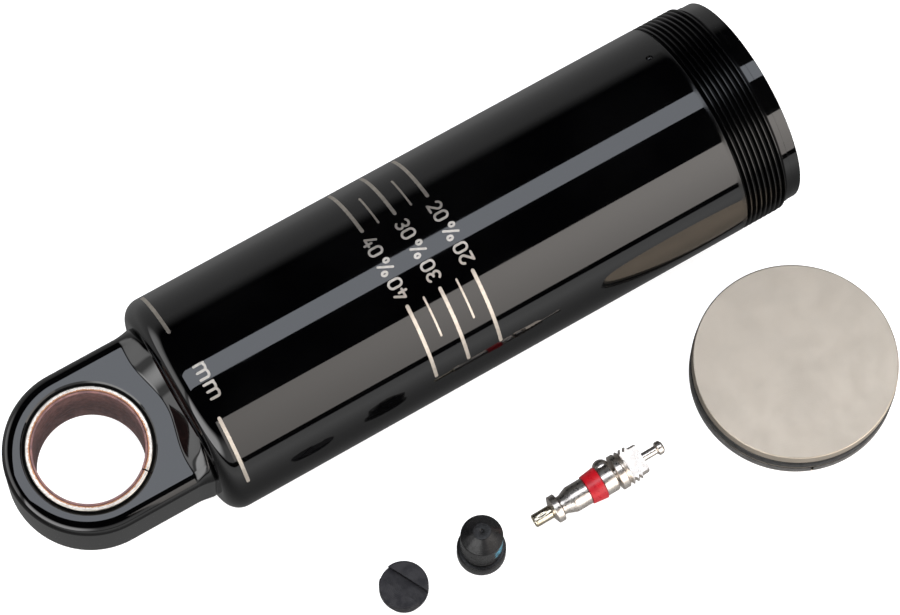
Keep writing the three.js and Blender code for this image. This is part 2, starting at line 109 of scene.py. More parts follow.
class Graph:
    """A material's node tree, built by short calls.

    Attributes:
        material: the finished material.
        shader: its Principled BSDF node.
        local: the piece's own coordinates, in millimetres.
    """

    def __init__(self, name: str, axes: Matrix) -> None:
        """Starts a material.

        Args:
            name: the material's name.
            axes: the piece's own frame, with its scale, in the row frame.
        """
        self.material = bpy.data.materials.new(name)
        self.material.use_nodes = True
        self._tree = self.material.node_tree
        self.shader = self._tree.nodes["Principled BSDF"]
        place, turn, scale = axes.decompose()
        texture = self.add("ShaderNodeTexCoord")
        mapping = self.add("ShaderNodeMapping", vector_type="TEXTURE")
        mapping.inputs["Location"].default_value = place
        mapping.inputs["Rotation"].default_value = turn.to_euler()
        mapping.inputs["Scale"].default_value = scale
        self.link(texture.outputs["Object"], mapping.inputs["Vector"])
        self.local = mapping.outputs["Vector"]

    def add(self, kind: str, **settings: object) -> bpy.types.Node:
        """Adds a node.

        Args:
            kind: the node's type.
            settings: its properties.

        Returns:
            The node.
        """
        node = self._tree.nodes.new(kind)
        for key, value in settings.items():
            setattr(node, key, value)
        return node

    def link(self, source: Socket, target: Socket) -> None:
        """Joins two sockets."""
        self._tree.links.new(source, target)

    def noise(self, scale: float, detail: float = 3.0, stretch: Colour = (1.0, 1.0, 1.0)) -> Socket:
        """A noise over the piece.

        Args:
            scale: patches in a millimetre.
            detail: how many finer layers it has.
            stretch: how much closer the patches are along each axis.

        Returns:
            The noise's value, about 0.5.
        """
        scaled = self.add("ShaderNodeVectorMath", operation="MULTIPLY")
        scaled.inputs[1].default_value = stretch
        self.link(self.local, scaled.inputs[0])
        node = self.add("ShaderNodeTexNoise")
        node.inputs["Scale"].default_value = scale
        node.inputs["Detail"].default_value = detail
        self.link(scaled.outputs["Vector"], node.inputs["Vector"])
        return node.outputs["Fac"]

    def spread(self, value: Socket, source: Point, target: Point) -> Socket:
        """Maps one range of a value on another.

        Args:
            value: what to map.
            source: the range it has, low and high.
            target: the range it gets.

        Returns:
            The mapped value.
        """
        node = self.add("ShaderNodeMapRange", interpolation_type="SMOOTHSTEP")
        for name, number in zip(("From Min", "From Max", "To Min", "To Max"), (*source, *target)):
            node.inputs[name].default_value = number
        self.link(value, node.inputs["Value"])
        return node.outputs["Result"]

    def blend(self, share: Socket, low: Colour | Socket, high: Colour | Socket) -> Socket:
        """Mixes two colours.

        Args:
            share: how much of the second one shows.
            low: the first colour, or a socket that gives it.
            high: the second colour, or a socket that gives it.

        Returns:
            The mixed colour.
        """
        node = self.add("ShaderNodeMix", data_type="RGBA")
        self.link(share, node.inputs[0])
        for socket, colour in ((node.inputs[6], low), (node.inputs[7], high)):
            if isinstance(colour, tuple):
                socket.default_value = (*colour, 1.0)
            else:
                self.link(colour, socket)
        return node.outputs[2]

    def math(self, operation: str, first: Socket, second: Socket | float) -> Socket:
        """One step of arithmetic on a value.

        Args:
            operation: the step's name.
            first: the value.
            second: a number or another value.

        Returns:
            The result.
        """
        node = self.add("ShaderNodeMath", operation=operation)
        self.link(first, node.inputs[0])
        if isinstance(second, float):
            node.inputs[1].default_value = second
        else:
            self.link(second, node.inputs[1])
        return node.outputs[0]

    def axis(self, name: str) -> Socket:
        """The piece's own X, Y or Z, in millimetres.

        Args:
            name: X, Y or Z.

        Returns:
            The coordinate.
        """
        node = self.add("ShaderNodeSeparateXYZ")
        self.link(self.local, node.inputs[0])
        return node.outputs[name]

    def radius(self, keep: Colour) -> Socket:
        """The distance from the piece's own axis.

        Args:
            keep: 1 for each direction that counts, 0 for the axis.

        Returns:
            The distance, in millimetres.
        """
        flat = self.add("ShaderNodeVectorMath", operation="MULTIPLY")
        flat.inputs[1].default_value = keep
        self.link(self.local, flat.inputs[0])
        length = self.add("ShaderNodeVectorMath", operation="LENGTH")
        self.link(flat.outputs["Vector"], length.inputs[0])
        return length.outputs["Value"]

    def bump(self, height: Socket, depth: float, strength: float = 1.0) -> None:
        """Adds relief on top of the relief that is there.

        Args:
            height: the relief, from 0 to 1.
            depth: its depth in millimetres.
            strength: how much of it shows.
        """
        node = self.add("ShaderNodeBump")
        node.inputs["Distance"].default_value = depth * MM
        node.inputs["Strength"].default_value = strength
        self.link(height, node.inputs["Height"])
        normal = self.shader.inputs["Normal"]
        if normal.is_linked:
            self.link(normal.links[0].from_socket, node.inputs["Normal"])
        self.link(node.outputs["Normal"], normal)


@dataclass(frozen=True)
class Finish:
    """A surface finish: a colour that drifts, a roughness that varies and a fine relief.

    Attributes:
        name: the material's name.
        slot: the record's slot; not used.
        colour: the main colour.
        shade: the colour that it drifts towards.
        metallic: 1 for bare metal.
        roughness: the smoothest and the roughest.
        ior: refraction of a finish that isn't metal.
        gloss: how strongly it reflects, 0.5 for its full share.
        drift: patches of colour in a millimetre.
        grain: grains in a millimetre.
        grain_depth: their depth in millimetres.
        lines: which way the cutter's lines run.
        line_pitch: the space between them in millimetres.
        line_depth: their depth in millimetres.
    """

    name: str
    slot: Slot
    colour: Colour
    shade: Colour
    metallic: float = 0.0
    roughness: Point = (0.3, 0.4)
    ior: float = 1.5
    gloss: float = 0.5
    drift: float = 0.35
    grain: float = 6.0
    grain_depth: float = 0.004
    lines: Lines = Lines.NONE
    line_pitch: float = 0.1
    line_depth: float = 0.001

    def hue(self, graph: Graph) -> Socket:
        """The colour over the surface."""
        share = graph.spread(graph.noise(self.drift), (0.35, 0.65), (0.0, 1.0))
        return graph.blend(share, self.colour, self.shade)

    def relief(self, graph: Graph) -> None:
        """The grain and the cutter's lines.

        Args:
            graph: the material's nodes.
        """
        graph.bump(graph.noise(self.grain, detail=2.0), self.grain_depth)
        if self.lines is Lines.NONE:
            return
        value = graph.axis("X") if self.lines is Lines.ROUND_AXIS else graph.radius((0.0, 1.0, 1.0))
        wave = graph.math("SINE", graph.math("MULTIPLY", value, FULL / self.line_pitch), 0.0)
        graph.bump(wave, self.line_depth)

    def material(self, axes: Matrix) -> bpy.types.Material:
        """Builds the material.

        Args:
            axes: the frame of the piece that wears it.

        Returns:
            The material.
        """
        graph = Graph(self.name, axes)
        inputs = graph.shader.inputs
        inputs["Metallic"].default_value = self.metallic
        inputs["IOR"].default_value = self.ior
        inputs["Specular IOR Level"].default_value = self.gloss
        graph.link(self.hue(graph), inputs["Base Color"])
        rough = graph.spread(graph.noise(self.drift * 2.3, detail=4.0), (0.3, 0.7), self.roughness)
        graph.link(rough, inputs["Roughness"])
        self.relief(graph)
        return graph.material


@dataclass(frozen=True)
class Anodise(Finish):
    """Gloss black anodise: wiped lengthwise, a little rougher on the thread, and with painted shade (less
    gloss) down in the thread's groove.

    Attributes:
        thread: where the thread starts and ends along the tube.
        thread_roughness: how much rougher it is there.
        thread_radii: the radii between which the groove's shadow fades out.
        groove_gloss: how much of the gloss is left in the groove, where shade is painted.
    """

    thread: Point = (94.2, 101.75)
    thread_roughness: float = 0.2
    thread_radii: Point = (15.8, 15.95)
    groove_gloss: float = 0.06

    def material(self, axes: Matrix) -> bpy.types.Material:
        """Builds the material.

        Args:
            axes: the frame of the piece that wears it.

        Returns:
            The material.
        """
        graph = Graph(self.name, axes)
        inputs = graph.shader.inputs
        inputs["IOR"].default_value = self.ior
        graph.link(self.hue(graph), inputs["Base Color"])
        wiped = graph.noise(0.5, detail=5.0, stretch=(0.25, 1.0, 1.0))
        smudged = graph.spread(wiped, (0.35, 0.75), self.roughness)
        start, end = self.thread
        entered = graph.spread(graph.axis("X"), (start, start + 0.5), (0.0, 1.0))
        left = graph.spread(graph.axis("X"), (end, end + 0.2), (1.0, 0.0))
        threaded = graph.math("MULTIPLY", entered, left)
        rough = graph.math("ADD", smudged, graph.math("MULTIPLY", threaded, self.thread_roughness))
        graph.link(rough, inputs["Roughness"])
        # Painted shade: the gloss fades out deep in the thread's groove, standing in for the groove's shadow.
        depths = graph.spread(graph.radius((0.0, 1.0, 1.0)), self.thread_radii, (1.0, 0.0))
        painted_groove_shade = graph.math("MULTIPLY", threaded, depths)
        graph.link(graph.spread(painted_groove_shade, (0.0, 1.0), (0.5, self.groove_gloss)), inputs["Specular IOR Level"])
        self.relief(graph)
        return graph.material


@dataclass(frozen=True)
class BushingEdge(Finish):
    """The split bushing's steel, with the sintered bronze that shows inside its cut edge.

    Attributes:
        seam: the radius where the liner starts.
        bronze: the bronze's colour.
        bronze_depth: how far the bronze reaches outwards.
    """

    seam: float = 7.8
    bronze: Colour = (0.42, 0.2, 0.11)
    bronze_depth: float = 0.4

    def hue(self, graph: Graph) -> Socket:
        """Steel outside, speckled bronze inside.

        Args:
            graph: the material's nodes.

        Returns:
            The colour.
        """
        ragged = graph.math("MULTIPLY", graph.noise(4.5, detail=2.0), self.bronze_depth)
        reach = graph.math("SUBTRACT", graph.radius((0.0, 1.0, 1.0)), ragged)
        steel = graph.spread(reach, (self.seam - 0.02, self.seam + 0.1), (0.0, 1.0))
        plain = super().hue(graph)
        return graph.blend(steel, self.bronze, plain)


@dataclass(frozen=True)
class ThreadPatch(Finish):
    """Black oxide with a patch of blue thread-locking compound on one side of the shank.

    Attributes:
        patch: the compound's colour.
        heights: where it starts and ends above the bench.
        heading: the direction that it faces.
    """

    patch: Colour = (0.05, 0.25, 0.36)
    heights: Point = (4.4, 7.4)
    heading: Point = (-0.6, -0.8)

    def hue(self, graph: Graph) -> Socket:
        """The black, with the patch over it.

        Args:
            graph: the material's nodes.

        Returns:
            The colour.
        """
        plain = super().hue(graph)
        aim = graph.add("ShaderNodeVectorMath", operation="DOT_PRODUCT")
        aim.inputs[1].default_value = (0.0, *self.heading)
        graph.link(graph.local, aim.inputs[0])
        low, high = self.heights
        side = graph.spread(aim.outputs["Value"], (1.9, 2.5), (0.0, 1.0))
        up = graph.spread(graph.axis("X"), (low, low + 0.5), (0.0, 1.0))
        down = graph.spread(graph.axis("X"), (high - 0.5, high), (1.0, 0.0))
        worn = graph.spread(graph.noise(2.6, detail=4.0), (0.42, 0.55), (0.0, 1.0))
        mask = graph.math("MULTIPLY", graph.math("MULTIPLY", side, up), graph.math("MULTIPLY", down, worn))
        return graph.blend(mask, plain, self.patch)


ANODISE = Anodise(
    "gloss_black_anodise", Slot.BLACK_ANODISED, (0.0003, 0.0003, 0.0004), (0.0008, 0.0008, 0.0009),
    roughness=(0.03, 0.065), drift=0.08, grain=1.6, grain_depth=0.0002,
)
MARKS = Finish(
    "etched_scale", Slot.SCALE_MARKS, (0.6, 0.55, 0.49), (0.52, 0.475, 0.42), metallic=1.0,
    roughness=(0.42, 0.55), drift=1.5, grain=14.0, grain_depth=0.004,
)
BUSHING = BushingEdge(
    "bushing_steel", Slot.BUSHING_STEEL, (0.68, 0.63, 0.56), (0.55, 0.5, 0.44), metallic=1.0,
    roughness=(0.3, 0.42), drift=1.4, grain=9.0, grain_depth=0.006, lines=Lines.ON_FACE,
    line_pitch=0.16, line_depth=0.003,
)
LINER = Finish(
    "bushing_liner", Slot.BUSHING_LINER, (0.2, 0.095, 0.085), (0.11, 0.055, 0.055),
    roughness=(0.38, 0.55), drift=0.9, grain=7.0, grain_depth=0.02,
)
PISTON = Finish(
    "faced_aluminium", Slot.PISTON, (0.56, 0.487, 0.4), (0.53, 0.462, 0.38), metallic=1.0,
    roughness=(0.42, 0.46), drift=0.2, grain=9.0, grain_depth=0.006, lines=Lines.ON_FACE,
    line_pitch=0.23, line_depth=0.0012,
)
RUBBER = Finish(
    "black_rubber", Slot.BLACK_RUBBER, (0.008, 0.008, 0.008), (0.015, 0.0145, 0.014), gloss=0.28,
    roughness=(0.32, 0.5), drift=0.8, grain=5.0, grain_depth=0.008,
)
GLIDE = Finish(
    "filled_plastic", Slot.GLIDE_PLASTIC, (0.07, 0.066, 0.062), (0.04, 0.038, 0.036),
    roughness=(0.3, 0.45), drift=0.7, grain=6.0, grain_depth=0.006,
)
NICKEL = Finish(
    "bright_nickel", Slot.NICKEL, (0.86, 0.8, 0.74), (0.72, 0.66, 0.6), metallic=1.0,
    roughness=(0.25, 0.36), drift=1.1, grain=5.0, grain_depth=0.0002, lines=Lines.ROUND_AXIS,
    line_pitch=0.16, line_depth=0.0002,
)
BRASS = Finish(
    "pale_brass", Slot.BRASS, (0.76, 0.69, 0.56), (0.6, 0.52, 0.38), metallic=1.0,
    roughness=(0.2, 0.3), drift=1.6, grain=8.0, grain_depth=0.001,
)
GASKET = Finish(
    "red_gasket", Slot.RED_RUBBER, (0.4, 0.006, 0.012), (0.31, 0.005, 0.012),
    roughness=(0.25, 0.4), drift=0.9, grain=6.0, grain_depth=0.008,
)
SPRING = Finish(
    "drawn_wire", Slot.SPRING, (0.6, 0.6, 0.6), (0.45, 0.45, 0.46), metallic=1.0,
    roughness=(0.2, 0.35), drift=2.0, grain=12.0, grain_depth=0.002,
)
CONE_BLACK = ThreadPatch(
    "black_oxide_patched", Slot.PLUG_BLACK, (0.004, 0.004, 0.0042), (0.008, 0.0076, 0.008), gloss=0.22,
    roughness=(0.2, 0.3), drift=0.9, grain=5.0, grain_depth=0.008, lines=Lines.ROUND_AXIS,
    line_pitch=0.22, line_depth=0.002,
)
SLOT_BLACK = Finish(
    "black_oxide", Slot.PLUG_BLACK, (0.014, 0.0138, 0.016), (0.024, 0.0235, 0.026), gloss=0.12,
    roughness=(0.4, 0.55), drift=0.8, grain=4.5, grain_depth=0.01, lines=Lines.ON_FACE,
    line_pitch=0.24, line_depth=0.002,
)


# ---------------------------------------------------------------- mesh tools


def rounded(corners: Iterable[Point], steps: int = 5) -> list[Vector]:
    """An outline with its corners rounded.

    Args:
        corners: (along, radius) or (along, radius, round) for each corner.
        steps: flats in each round.

    Returns:
        The outline's points.
    """
    corners = list(corners)
    points: list[Vector] = []
    for i, corner in enumerate(corners):
        here = Vector(corner[:2])
        if len(corner) == 2:
            points.append(here)
            continue
        before = (Vector(corners[i - 1][:2]) - here).normalized()
        after = (Vector(corners[(i + 1) % len(corners)][:2]) - here).normalized()
        half = before.angle(after) / 2
        centre = here + (before + after).normalized() * corner[2] / math.sin(half)
        start = here + before * corner[2] / math.tan(half) - centre
        end = here + after * corner[2] / math.tan(half) - centre
        begin, finish = start.normalized(), end.normalized()
        points.extend(centre + begin.slerp(finish, k / steps) * corner[2] for k in range(steps + 1))
    return points


@dataclass(frozen=True)
class Thread:
    """A helical thread cut in a turned piece.

    Attributes:
        start: where its stretch starts.
        radius: the crest's radius.
        turns: turns of groove.
        pitch: its pitch.
        depth: its depth.
        points: stations in one pitch.
        flank: the width of one flank, as a share of the pitch.
        fade: the distance over which it starts, and sinks into the relief at its end.
    """

    start: float
    radius: float
    turns: float
    pitch: float
    depth: float
    points: int = 8
    flank: float = 0.35
    fade: float = 0.4

    @property
    def stations(self) -> int:
        """How many stations the helix has."""
        return round(self.turns * self.points)

    @property
    def step(self) -> float:
        """The distance between stations."""
        return self.pitch / self.points

    @property
    def end(self) -> float:
        """Where its stretch ends."""
        return self.start + (self.stations + self.points + 1) * self.step

    @property
    def root(self) -> float:
        """The radius at the bottom of the groove."""
        return self.radius - self.depth

    def outline(self) -> list[Vector]:
        """The plain outline that the thread is cut in."""
        crest = [Vector((self.start + k * self.step, self.radius)) for k in range(self.stations + 1)]
        return [*crest, Vector((self.end, self.root))]

    def groove(self, along: float, phase: float) -> float:
        """The depth of cut at a place.

        Args:
            along: the place along the axis.
            phase: the place in the pitch, from 0 to 1.

        Returns:
            The depth.
        """
        from_crest = abs((phase - 0.5 / self.points + 0.5) % 1.0 - 0.5)
        flank = min(1.0, max(0.0, (from_crest - 0.5 / self.points) / self.flank))
        lead = (self.points + 1) * self.step
        fade_in = min(1.0, max(0.0, (along - self.start - lead) / self.fade))
        relief = min(1.0, max(0.0, (along - self.end + lead + self.fade) / self.fade))
        return self.depth * max(flank * fade_in, relief)

    def cut(self, shape: Shape, last: set[bmesh.types.BMVert]) -> None:
        """Turns the plain stretch of a turned piece into the helix.

        Args:
            shape: the turned piece, open along its seam.
            last: the points on the seam's far side.
        """
        low, high = self.start + self.step / 2, self.start + (self.stations + 0.5) * self.step
        edges: list[bmesh.types.BMEdge] = []
        for edge in shape.edges:
            ends = {round((v.co.x - self.start) / self.step, 3) for v in edge.verts}
            outside = all(v.co.yz.length > self.root - WELD for v in edge.verts)
            if outside and ends == {0, 1} and all(v in last for v in edge.verts):
                edges.append(edge)
            level = all(v.co.z > 0 and abs(v.co.y) < WELD and v not in last for v in edge.verts)
            if outside and level and ends == {self.stations, self.stations + self.points + 1}:
                edges.append(edge)
        for vert in shape.verts:
            if not low < vert.co.x < high or abs(vert.co.yz.length - self.radius) > WELD:
                continue
            share = (math.atan2(-vert.co.y, vert.co.z) / FULL) % 1.0
            share = 1.0 if vert in last else (0.0 if share > 1 - WELD else share)
            station = round((vert.co.x - self.start) / self.step)
            along = vert.co.x + share * self.pitch
            radius = self.radius - self.groove(along, (station / self.points) % 1.0)
            vert.co = Vector((along, *(vert.co.yz.normalized() * radius)))
        bmesh.ops.bisect_edges(shape, edges=edges, cuts=self.points)


def lathe(outline: Sequence[Vector], steps: int, ring: bool = False, thread: Thread | None = None) -> Shape:
    """A piece turned about its own X axis.

    Args:
        outline: its (along, radius) points.
        steps: flats round the axis.
        ring: True if the outline closes on itself.
        thread: a thread to cut in it.

    Returns:
        The closed shape, in millimetres.
    """
    shape = bmesh.new()
    verts = [shape.verts.new((p.x, 0.0, p.y)) for p in outline]
    pairs = list(zip(verts, verts[1:])) + ([(verts[-1], verts[0])] if ring else [])
    edges = [shape.edges.new(pair) for pair in pairs]
    spun = bmesh.ops.spin(
        shape, geom=verts + edges, cent=(0, 0, 0), axis=(1, 0, 0), angle=FULL, steps=steps,
        use_merge=thread is None,
    )
    if thread:
        thread.cut(shape, {v for v in spun["geom_last"] if isinstance(v, bmesh.types.BMVert)})
    bmesh.ops.remove_doubles(shape, verts=shape.verts, dist=WELD)
    poles = [v for v in shape.verts if v.co.yz.length < WELD and len(v.link_faces) > 2]
    flat = [v for v in poles if all(abs(e.other_vert(v).co.x - v.co.x) < WELD for e in v.link_edges)]
    bmesh.ops.dissolve_verts(shape, verts=flat)
    bmesh.ops.recalc_face_normals(shape, faces=shape.faces)
    return shape


def block(size: Point, centre: Point, turn: Matrix | None = None) -> Shape:
    """A block, as a cutting shape.

    Args:
        size: its three sizes.
        centre: its centre.
        turn: a turn about the origin after it is placed.

    Returns:
        The shape.
    """
    shape = bmesh.new()
    place = (turn or Matrix.Identity(4)) @ Matrix.Translation(centre) @ Matrix.Diagonal((*size, 1.0))
    bmesh.ops.create_cube(shape, size=1.0, matrix=place)
    return shape


def combined(body: Shape, tool: Shape, how: Cut) -> Shape:
    """Adds one solid to another or takes it away.

    Args:
        body: the solid that stays.
        tool: the other one.
        how: which of the two.

    Returns:
        The new solid; the two that came in are freed.
    """
    holders = []
    for shape in (body, tool):
        mesh = bpy.data.meshes.new("cutting_bench")
        shape.to_mesh(mesh)
        shape.free()
        holders.append(bpy.data.objects.new("cutting_bench", mesh))
        bpy.context.scene.collection.objects.link(holders[-1])
    step = holders[0].modifiers.new("cut", "BOOLEAN")
    step.operation = how.value
    step.solver = "EXACT"
    step.object = holders[1]
    bpy.context.view_layer.update()
    result = bmesh.new()
    result.from_object(holders[0], bpy.context.evaluated_depsgraph_get())
    for holder in holders:
        mesh = holder.data
        bpy.data.objects.remove(holder)
        bpy.data.meshes.remove(mesh)
    return result


UPRIGHT = Matrix.Rotation(math.radians(-90), 4, "Y")


def frame_at(place: Vector, turn: Matrix | None = None) -> Matrix:
    """A piece's own frame, in millimetres, set in the row frame.

    Args:
        place: its origin, in metres.
        turn: its direction.

    Returns:
        The matrix that carries the piece's own sizes to the row frame.
    """
    return Matrix.Translation(place) @ (turn or Matrix.Identity(4)) @ Matrix.Scale(MM, 4)


def publish(
    shape: Shape, name: str, finish: Finish, body: Body, place: Matrix, stands_for: str = "",
    crease: float = 32.0,
) -> bpy.types.Object:
    """Args:
        shape: the shape, in its own frame; it is freed.
        name: the piece's name.
        finish: what it wears.
        body: what it rides on.
        place: its own frame in the row frame.
        stands_for: the frame's node that it replaces.
        crease: the angle in degrees from which an edge is sharp.

    Returns:
        The object.
    """
    bmesh.ops.transform(shape, matrix=place, verts=shape.verts)
    bmesh.ops.recalc_face_normals(shape, faces=shape.faces)
    mesh = bpy.data.meshes.new(name)
    shape.to_mesh(mesh)
    shape.free()
    mesh.shade_smooth()
    mesh.set_sharp_from_angle(angle=math.radians(crease))
    mesh.materials.append(finish.material(place))
    piece = bpy.data.objects.new(name, mesh)
    bpy.context.scene.collection.objects.link(piece)
    flats = piece.modifiers.new("flat_faces_lead", "WEIGHTED_NORMAL")
    flats.keep_sharp = True
    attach(piece, body.value)
    if stands_for:
        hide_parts(stands_for)
    LOG.info("%s rides on %s, %d faces", name, body.value, len(mesh.polygons))
    return piece


# ---------------------------------------------------------------- damper body


@dataclass
class DamperBody:
    """The one-piece damper body: tube, thread, pilot lip, closed shoulder and eyelet.

    Places along it are measured from the eyelet's centre.
    """

    place: Vector
    length: float
    radius: float = 15.98
    bore: float = 14.65
    bore_end: float = 22.0
    bore_round: float = 3.0
    shoulder: float = 13.0
    shoulder_round: float = 2.7
    lip_radius: float = 15.4
    thread_room: float = 10.25
    thread_turns: float = 9.75
    pitch: float = 0.8
    thread_depth: float = 0.5
    eye_radius: float = 11.6
    eye_half: float = 7.6
    eye_round: float = 1.8
    eye_bore: float = 8.53
    seat_chamfer: float = 0.6
    eye_roll: float = math.radians(9)
    neck: float = 3.0
    side_flare: float = 1.7
    slope: float = 1.12
    slope_ease: float = 0.35
    slope_reach: Point = (1.45, 2.8)
    slope_width: float = 8.0
    slope_taper: float = 3.4
    corner_slope: float = 1.5
    corner_sharpness: float = 24.0
    neck_steps: Point = (0.05, 0.1, 0.15, 0.2, 0.28, 0.37, 0.46, 0.55, 0.64, 0.72, 0.8, 0.87, 0.93, 0.97, 1.0)
    dimple: Point = (92.26, -25.0, 0.5)
    rounds: int = 256

    @property
    def shoulder_flat(self) -> float:
        """The radius of the shoulder's flat face."""
        return self.radius - self.shoulder_round

    def tube(self) -> Shape:
        """The tube with its shoulder, thread, lip and blind bore.

        Returns:
            The shape, turned about X.
        """
        thread = Thread(
            self.length - self.thread_room, self.radius, self.thread_turns, self.pitch, self.thread_depth
        )
        floor = self.bore_end
        outline = [
            *rounded(
                [
                    (self.shoulder, 0.0),
                    (self.shoulder, self.radius, self.shoulder_round),
                    (thread.start, self.radius),
                ],
                steps=12,
            )[:-1],
            *thread.outline(),
            *rounded(
                [
                    (thread.end, thread.root),
                    (thread.end + 0.06, self.lip_radius),
                    (self.length, self.lip_radius, 0.15),
                    (self.length, self.bore + 0.2),
                    (self.length - 0.2, self.bore),
                    (floor, self.bore, self.bore_round),
                    (floor, 0.0),
                ],
                steps=4,
            )[1:],
        ]
        return lathe(outline, self.rounds, thread=thread)

    def _side_rise(self, x: float) -> float:
        """How far the neck's sides flare out: a quarter round that ends square to the shoulder."""
        share = min(1.0, max(0.0, 1 - (self.shoulder - x) / self.neck))
        return self.side_flare * (1 - math.sqrt(1 - share * share))

    def _crease(self, y: float) -> float:
        """Where the faces' slope up to the shoulder starts, which is later in the middle.

        Args:
            y: the place across the neck.

        Returns:
            The place along the body.
        """
        near, far = self.slope_reach
        share = min(abs(y), self.slope_width) / self.slope_width
        return self.shoulder - near - (far - near) * (1 - math.cos(math.pi * share)) / 2

    def _face_rise(self, past: float) -> float:
        """How far the slope has risen at a distance past its crease."""
        ease = self.slope_ease
        return self.slope * (past * past / (2 * ease) if past < ease else past - ease / 2)

    def eyelet(self) -> Shape:
        """The eyelet with its neck, bored for the bushing and rolled about the tube's axis.

        Returns:
            The shape.
        """
        half, wide, edge = self.eye_half, self.eye_radius, self.eye_round
        outline = rounded([(-half, 0.0), (-half, wide, edge), (half, wide, edge), (half, 0.0)], steps=8)
        shape = bmesh.new()
        verts = [shape.verts.new((0.0, p.y, p.x)) for p in outline]
        edges = [shape.edges.new(pair) for pair in zip(verts, verts[1:])]
        bmesh.ops.spin(
            shape, geom=verts + edges, cent=(0, 0, 0), axis=(0, 0, 1), angle=math.pi, steps=80,
            use_merge=False,
        )
        bmesh.ops.remove_doubles(shape, verts=shape.verts, dist=WELD)
        start = self.shoulder - self.neck
        for station in (start, *(start + self.neck * step for step in self.neck_steps), self.shoulder + 1):
            rim = [e for e in shape.edges if e.is_boundary]
            moved = bmesh.ops.extrude_edge_only(shape, edges=rim)["geom"]
            for vert in (v for v in moved if isinstance(v, bmesh.types.BMVert)):
                vert.co.x = station
        bmesh.ops.holes_fill(shape, edges=[e for e in shape.edges if e.is_boundary], sides=0)
        poles = [v for v in shape.verts if v.co.xy.length < WELD]
        bmesh.ops.dissolve_verts(shape, verts=poles)
        self._shape_neck(shape, start)
        bmesh.ops.recalc_face_normals(shape, faces=shape.faces)
        bored = combined(shape, self._seat(), Cut.TAKE_AWAY)
        roll = Matrix.Rotation(self.eye_roll, 3, "X")
        bmesh.ops.rotate(bored, verts=bored.verts, cent=(0, 0, 0), matrix=roll)
        return bored

    def _shape_neck(self, shape: Shape, start: float) -> None:
        """Cuts the neck across its width, then shapes its creases, slopes and flared sides.

        Args:
            shape: the straight eyelet.
            start: where the neck starts.
        """
        spacing = self.slope_width / 18
        for k in range(-26, 27):
            faces = [f for f in shape.faces if f.calc_center_median().x > start]
            near = {g for f in faces for g in (*f.edges, *f.verts)}
            bmesh.ops.bisect_plane(
                shape, geom=faces + list(near), dist=WELD, plane_co=(0, k * spacing, 0), plane_no=(0, 1, 0)
            )
        for vert in (v for v in shape.verts if v.co.x > start - WELD):
            along, side, height = vert.co
            crease = self._crease(side)
            if along < self.shoulder + WELD:
                along = crease + (self.shoulder - crease) * (along - start) / self.neck
            inboard = min(1.0, max(0.0, (self.eye_radius - abs(side)) / self.slope_taper))
            rise = self._face_rise(min(along, self.shoulder) - crease) * math.sqrt(inboard)
            middle = math.sqrt(max(0.0, 1 - (height / self.eye_half) ** 2))
            side *= 1 + self._side_rise(along) * middle / self.eye_radius
            height *= 1 + rise / self.eye_half
            room = self.shoulder_flat + self.corner_slope * max(0.0, self.shoulder - along)
            over = (math.hypot(side, height) / room) ** self.corner_sharpness
            shrink = (1 + over) ** (-1 / self.corner_sharpness)
            vert.co = (along, side * shrink, height * shrink)

    def _seat(self) -> Shape:
        """The bushing's seat through the eyelet, chamfered at both faces.

        Returns:
            The cutting shape.
        """
        half, chamfer = self.eye_half, self.seat_chamfer
        past, wide = half + 1.0, self.eye_bore + self.seat_chamfer + 1.0
        corners = [(-past, 0.0), (-past, wide), (chamfer - half, self.eye_bore)]
        corners += [(half - chamfer, self.eye_bore), (past, wide), (past, 0.0)]
        cutter = lathe(rounded(corners), 160)
        bmesh.ops.transform(cutter, matrix=UPRIGHT, verts=cutter.verts)
        return cutter

    def _dimple(self) -> Shape:
        """The small punched dimple by the thread.

        Returns:
            The cutting shape.
        """
        along, angle, size = self.dimple
        ball = bmesh.new()
        above = Matrix.Translation((along, 0, self.radius + size * 0.1))
        place = Matrix.Rotation(math.radians(angle), 4, "X") @ above
        bmesh.ops.create_uvsphere(ball, u_segments=24, v_segments=16, radius=size, matrix=place)
        return ball

    def build(self) -> list[bpy.types.Object]:
        """Makes the body.

        Returns:
            The body, as one piece.
        """
        place = frame_at(self.place)
        body = combined(self.tube(), self.eyelet(), Cut.ADD)
        body = combined(body, self._dimple(), Cut.TAKE_AWAY)
        finish = ANODISE
        return [publish(body, "damper_body_machined", finish, Body.DAMPER, place, "damper_body", crease=38.0)]


@dataclass
class Bushing:
    """The split bushing: a steel shell with a low-friction liner inside it."""

    place: Vector
    roll: float
    bore: float = 7.5
    liner_wall: float = 0.3
    shell_wall: float = 0.7
    gap: float = 0.03
    length: float = 15.0
    chamfer: float = 0.16
    split: float = 0.2
    split_angle: float = math.radians(-51)
    rounds: int = 160

    def sleeve(self, inner: float, outer: float, chamfer: float) -> Shape:
        """One wall of the bushing, slit along its length.

        Args:
            inner: its inner radius.
            outer: its outer radius.
            chamfer: the round on its edges.

        Returns:
            The shape, turned about X.
        """
        half = self.length / 2
        corners = [(-half, inner, chamfer / 2), (-half, outer, chamfer), (half, outer, chamfer)]
        corners.append((half, inner, chamfer / 2))
        wall = lathe(rounded(corners, steps=4), self.rounds, ring=True)
        turn = Matrix.Rotation(self.split_angle, 4, "X")
        slit = block((self.length + 2, self.split, outer), (0, 0, -outer), turn)
        return combined(wall, slit, Cut.TAKE_AWAY)

    def build(self) -> list[bpy.types.Object]:
        """Makes the shell and the liner.

        Returns:
            The two pieces.
        """
        place = frame_at(self.place, Matrix.Rotation(self.roll, 4, "X") @ UPRIGHT)
        seam = self.bore + self.liner_wall
        shell = self.sleeve(seam + self.gap, seam + self.shell_wall, self.chamfer)
        liner = self.sleeve(self.bore, seam, 0.06)
        return [
            publish(shell, "bushing_shell_split", BUSHING, Body.DAMPER, place, "bushing_shell"),
            publish(liner, "bushing_liner_split", LINER, Body.DAMPER, place, "bushing_liner"),
        ]


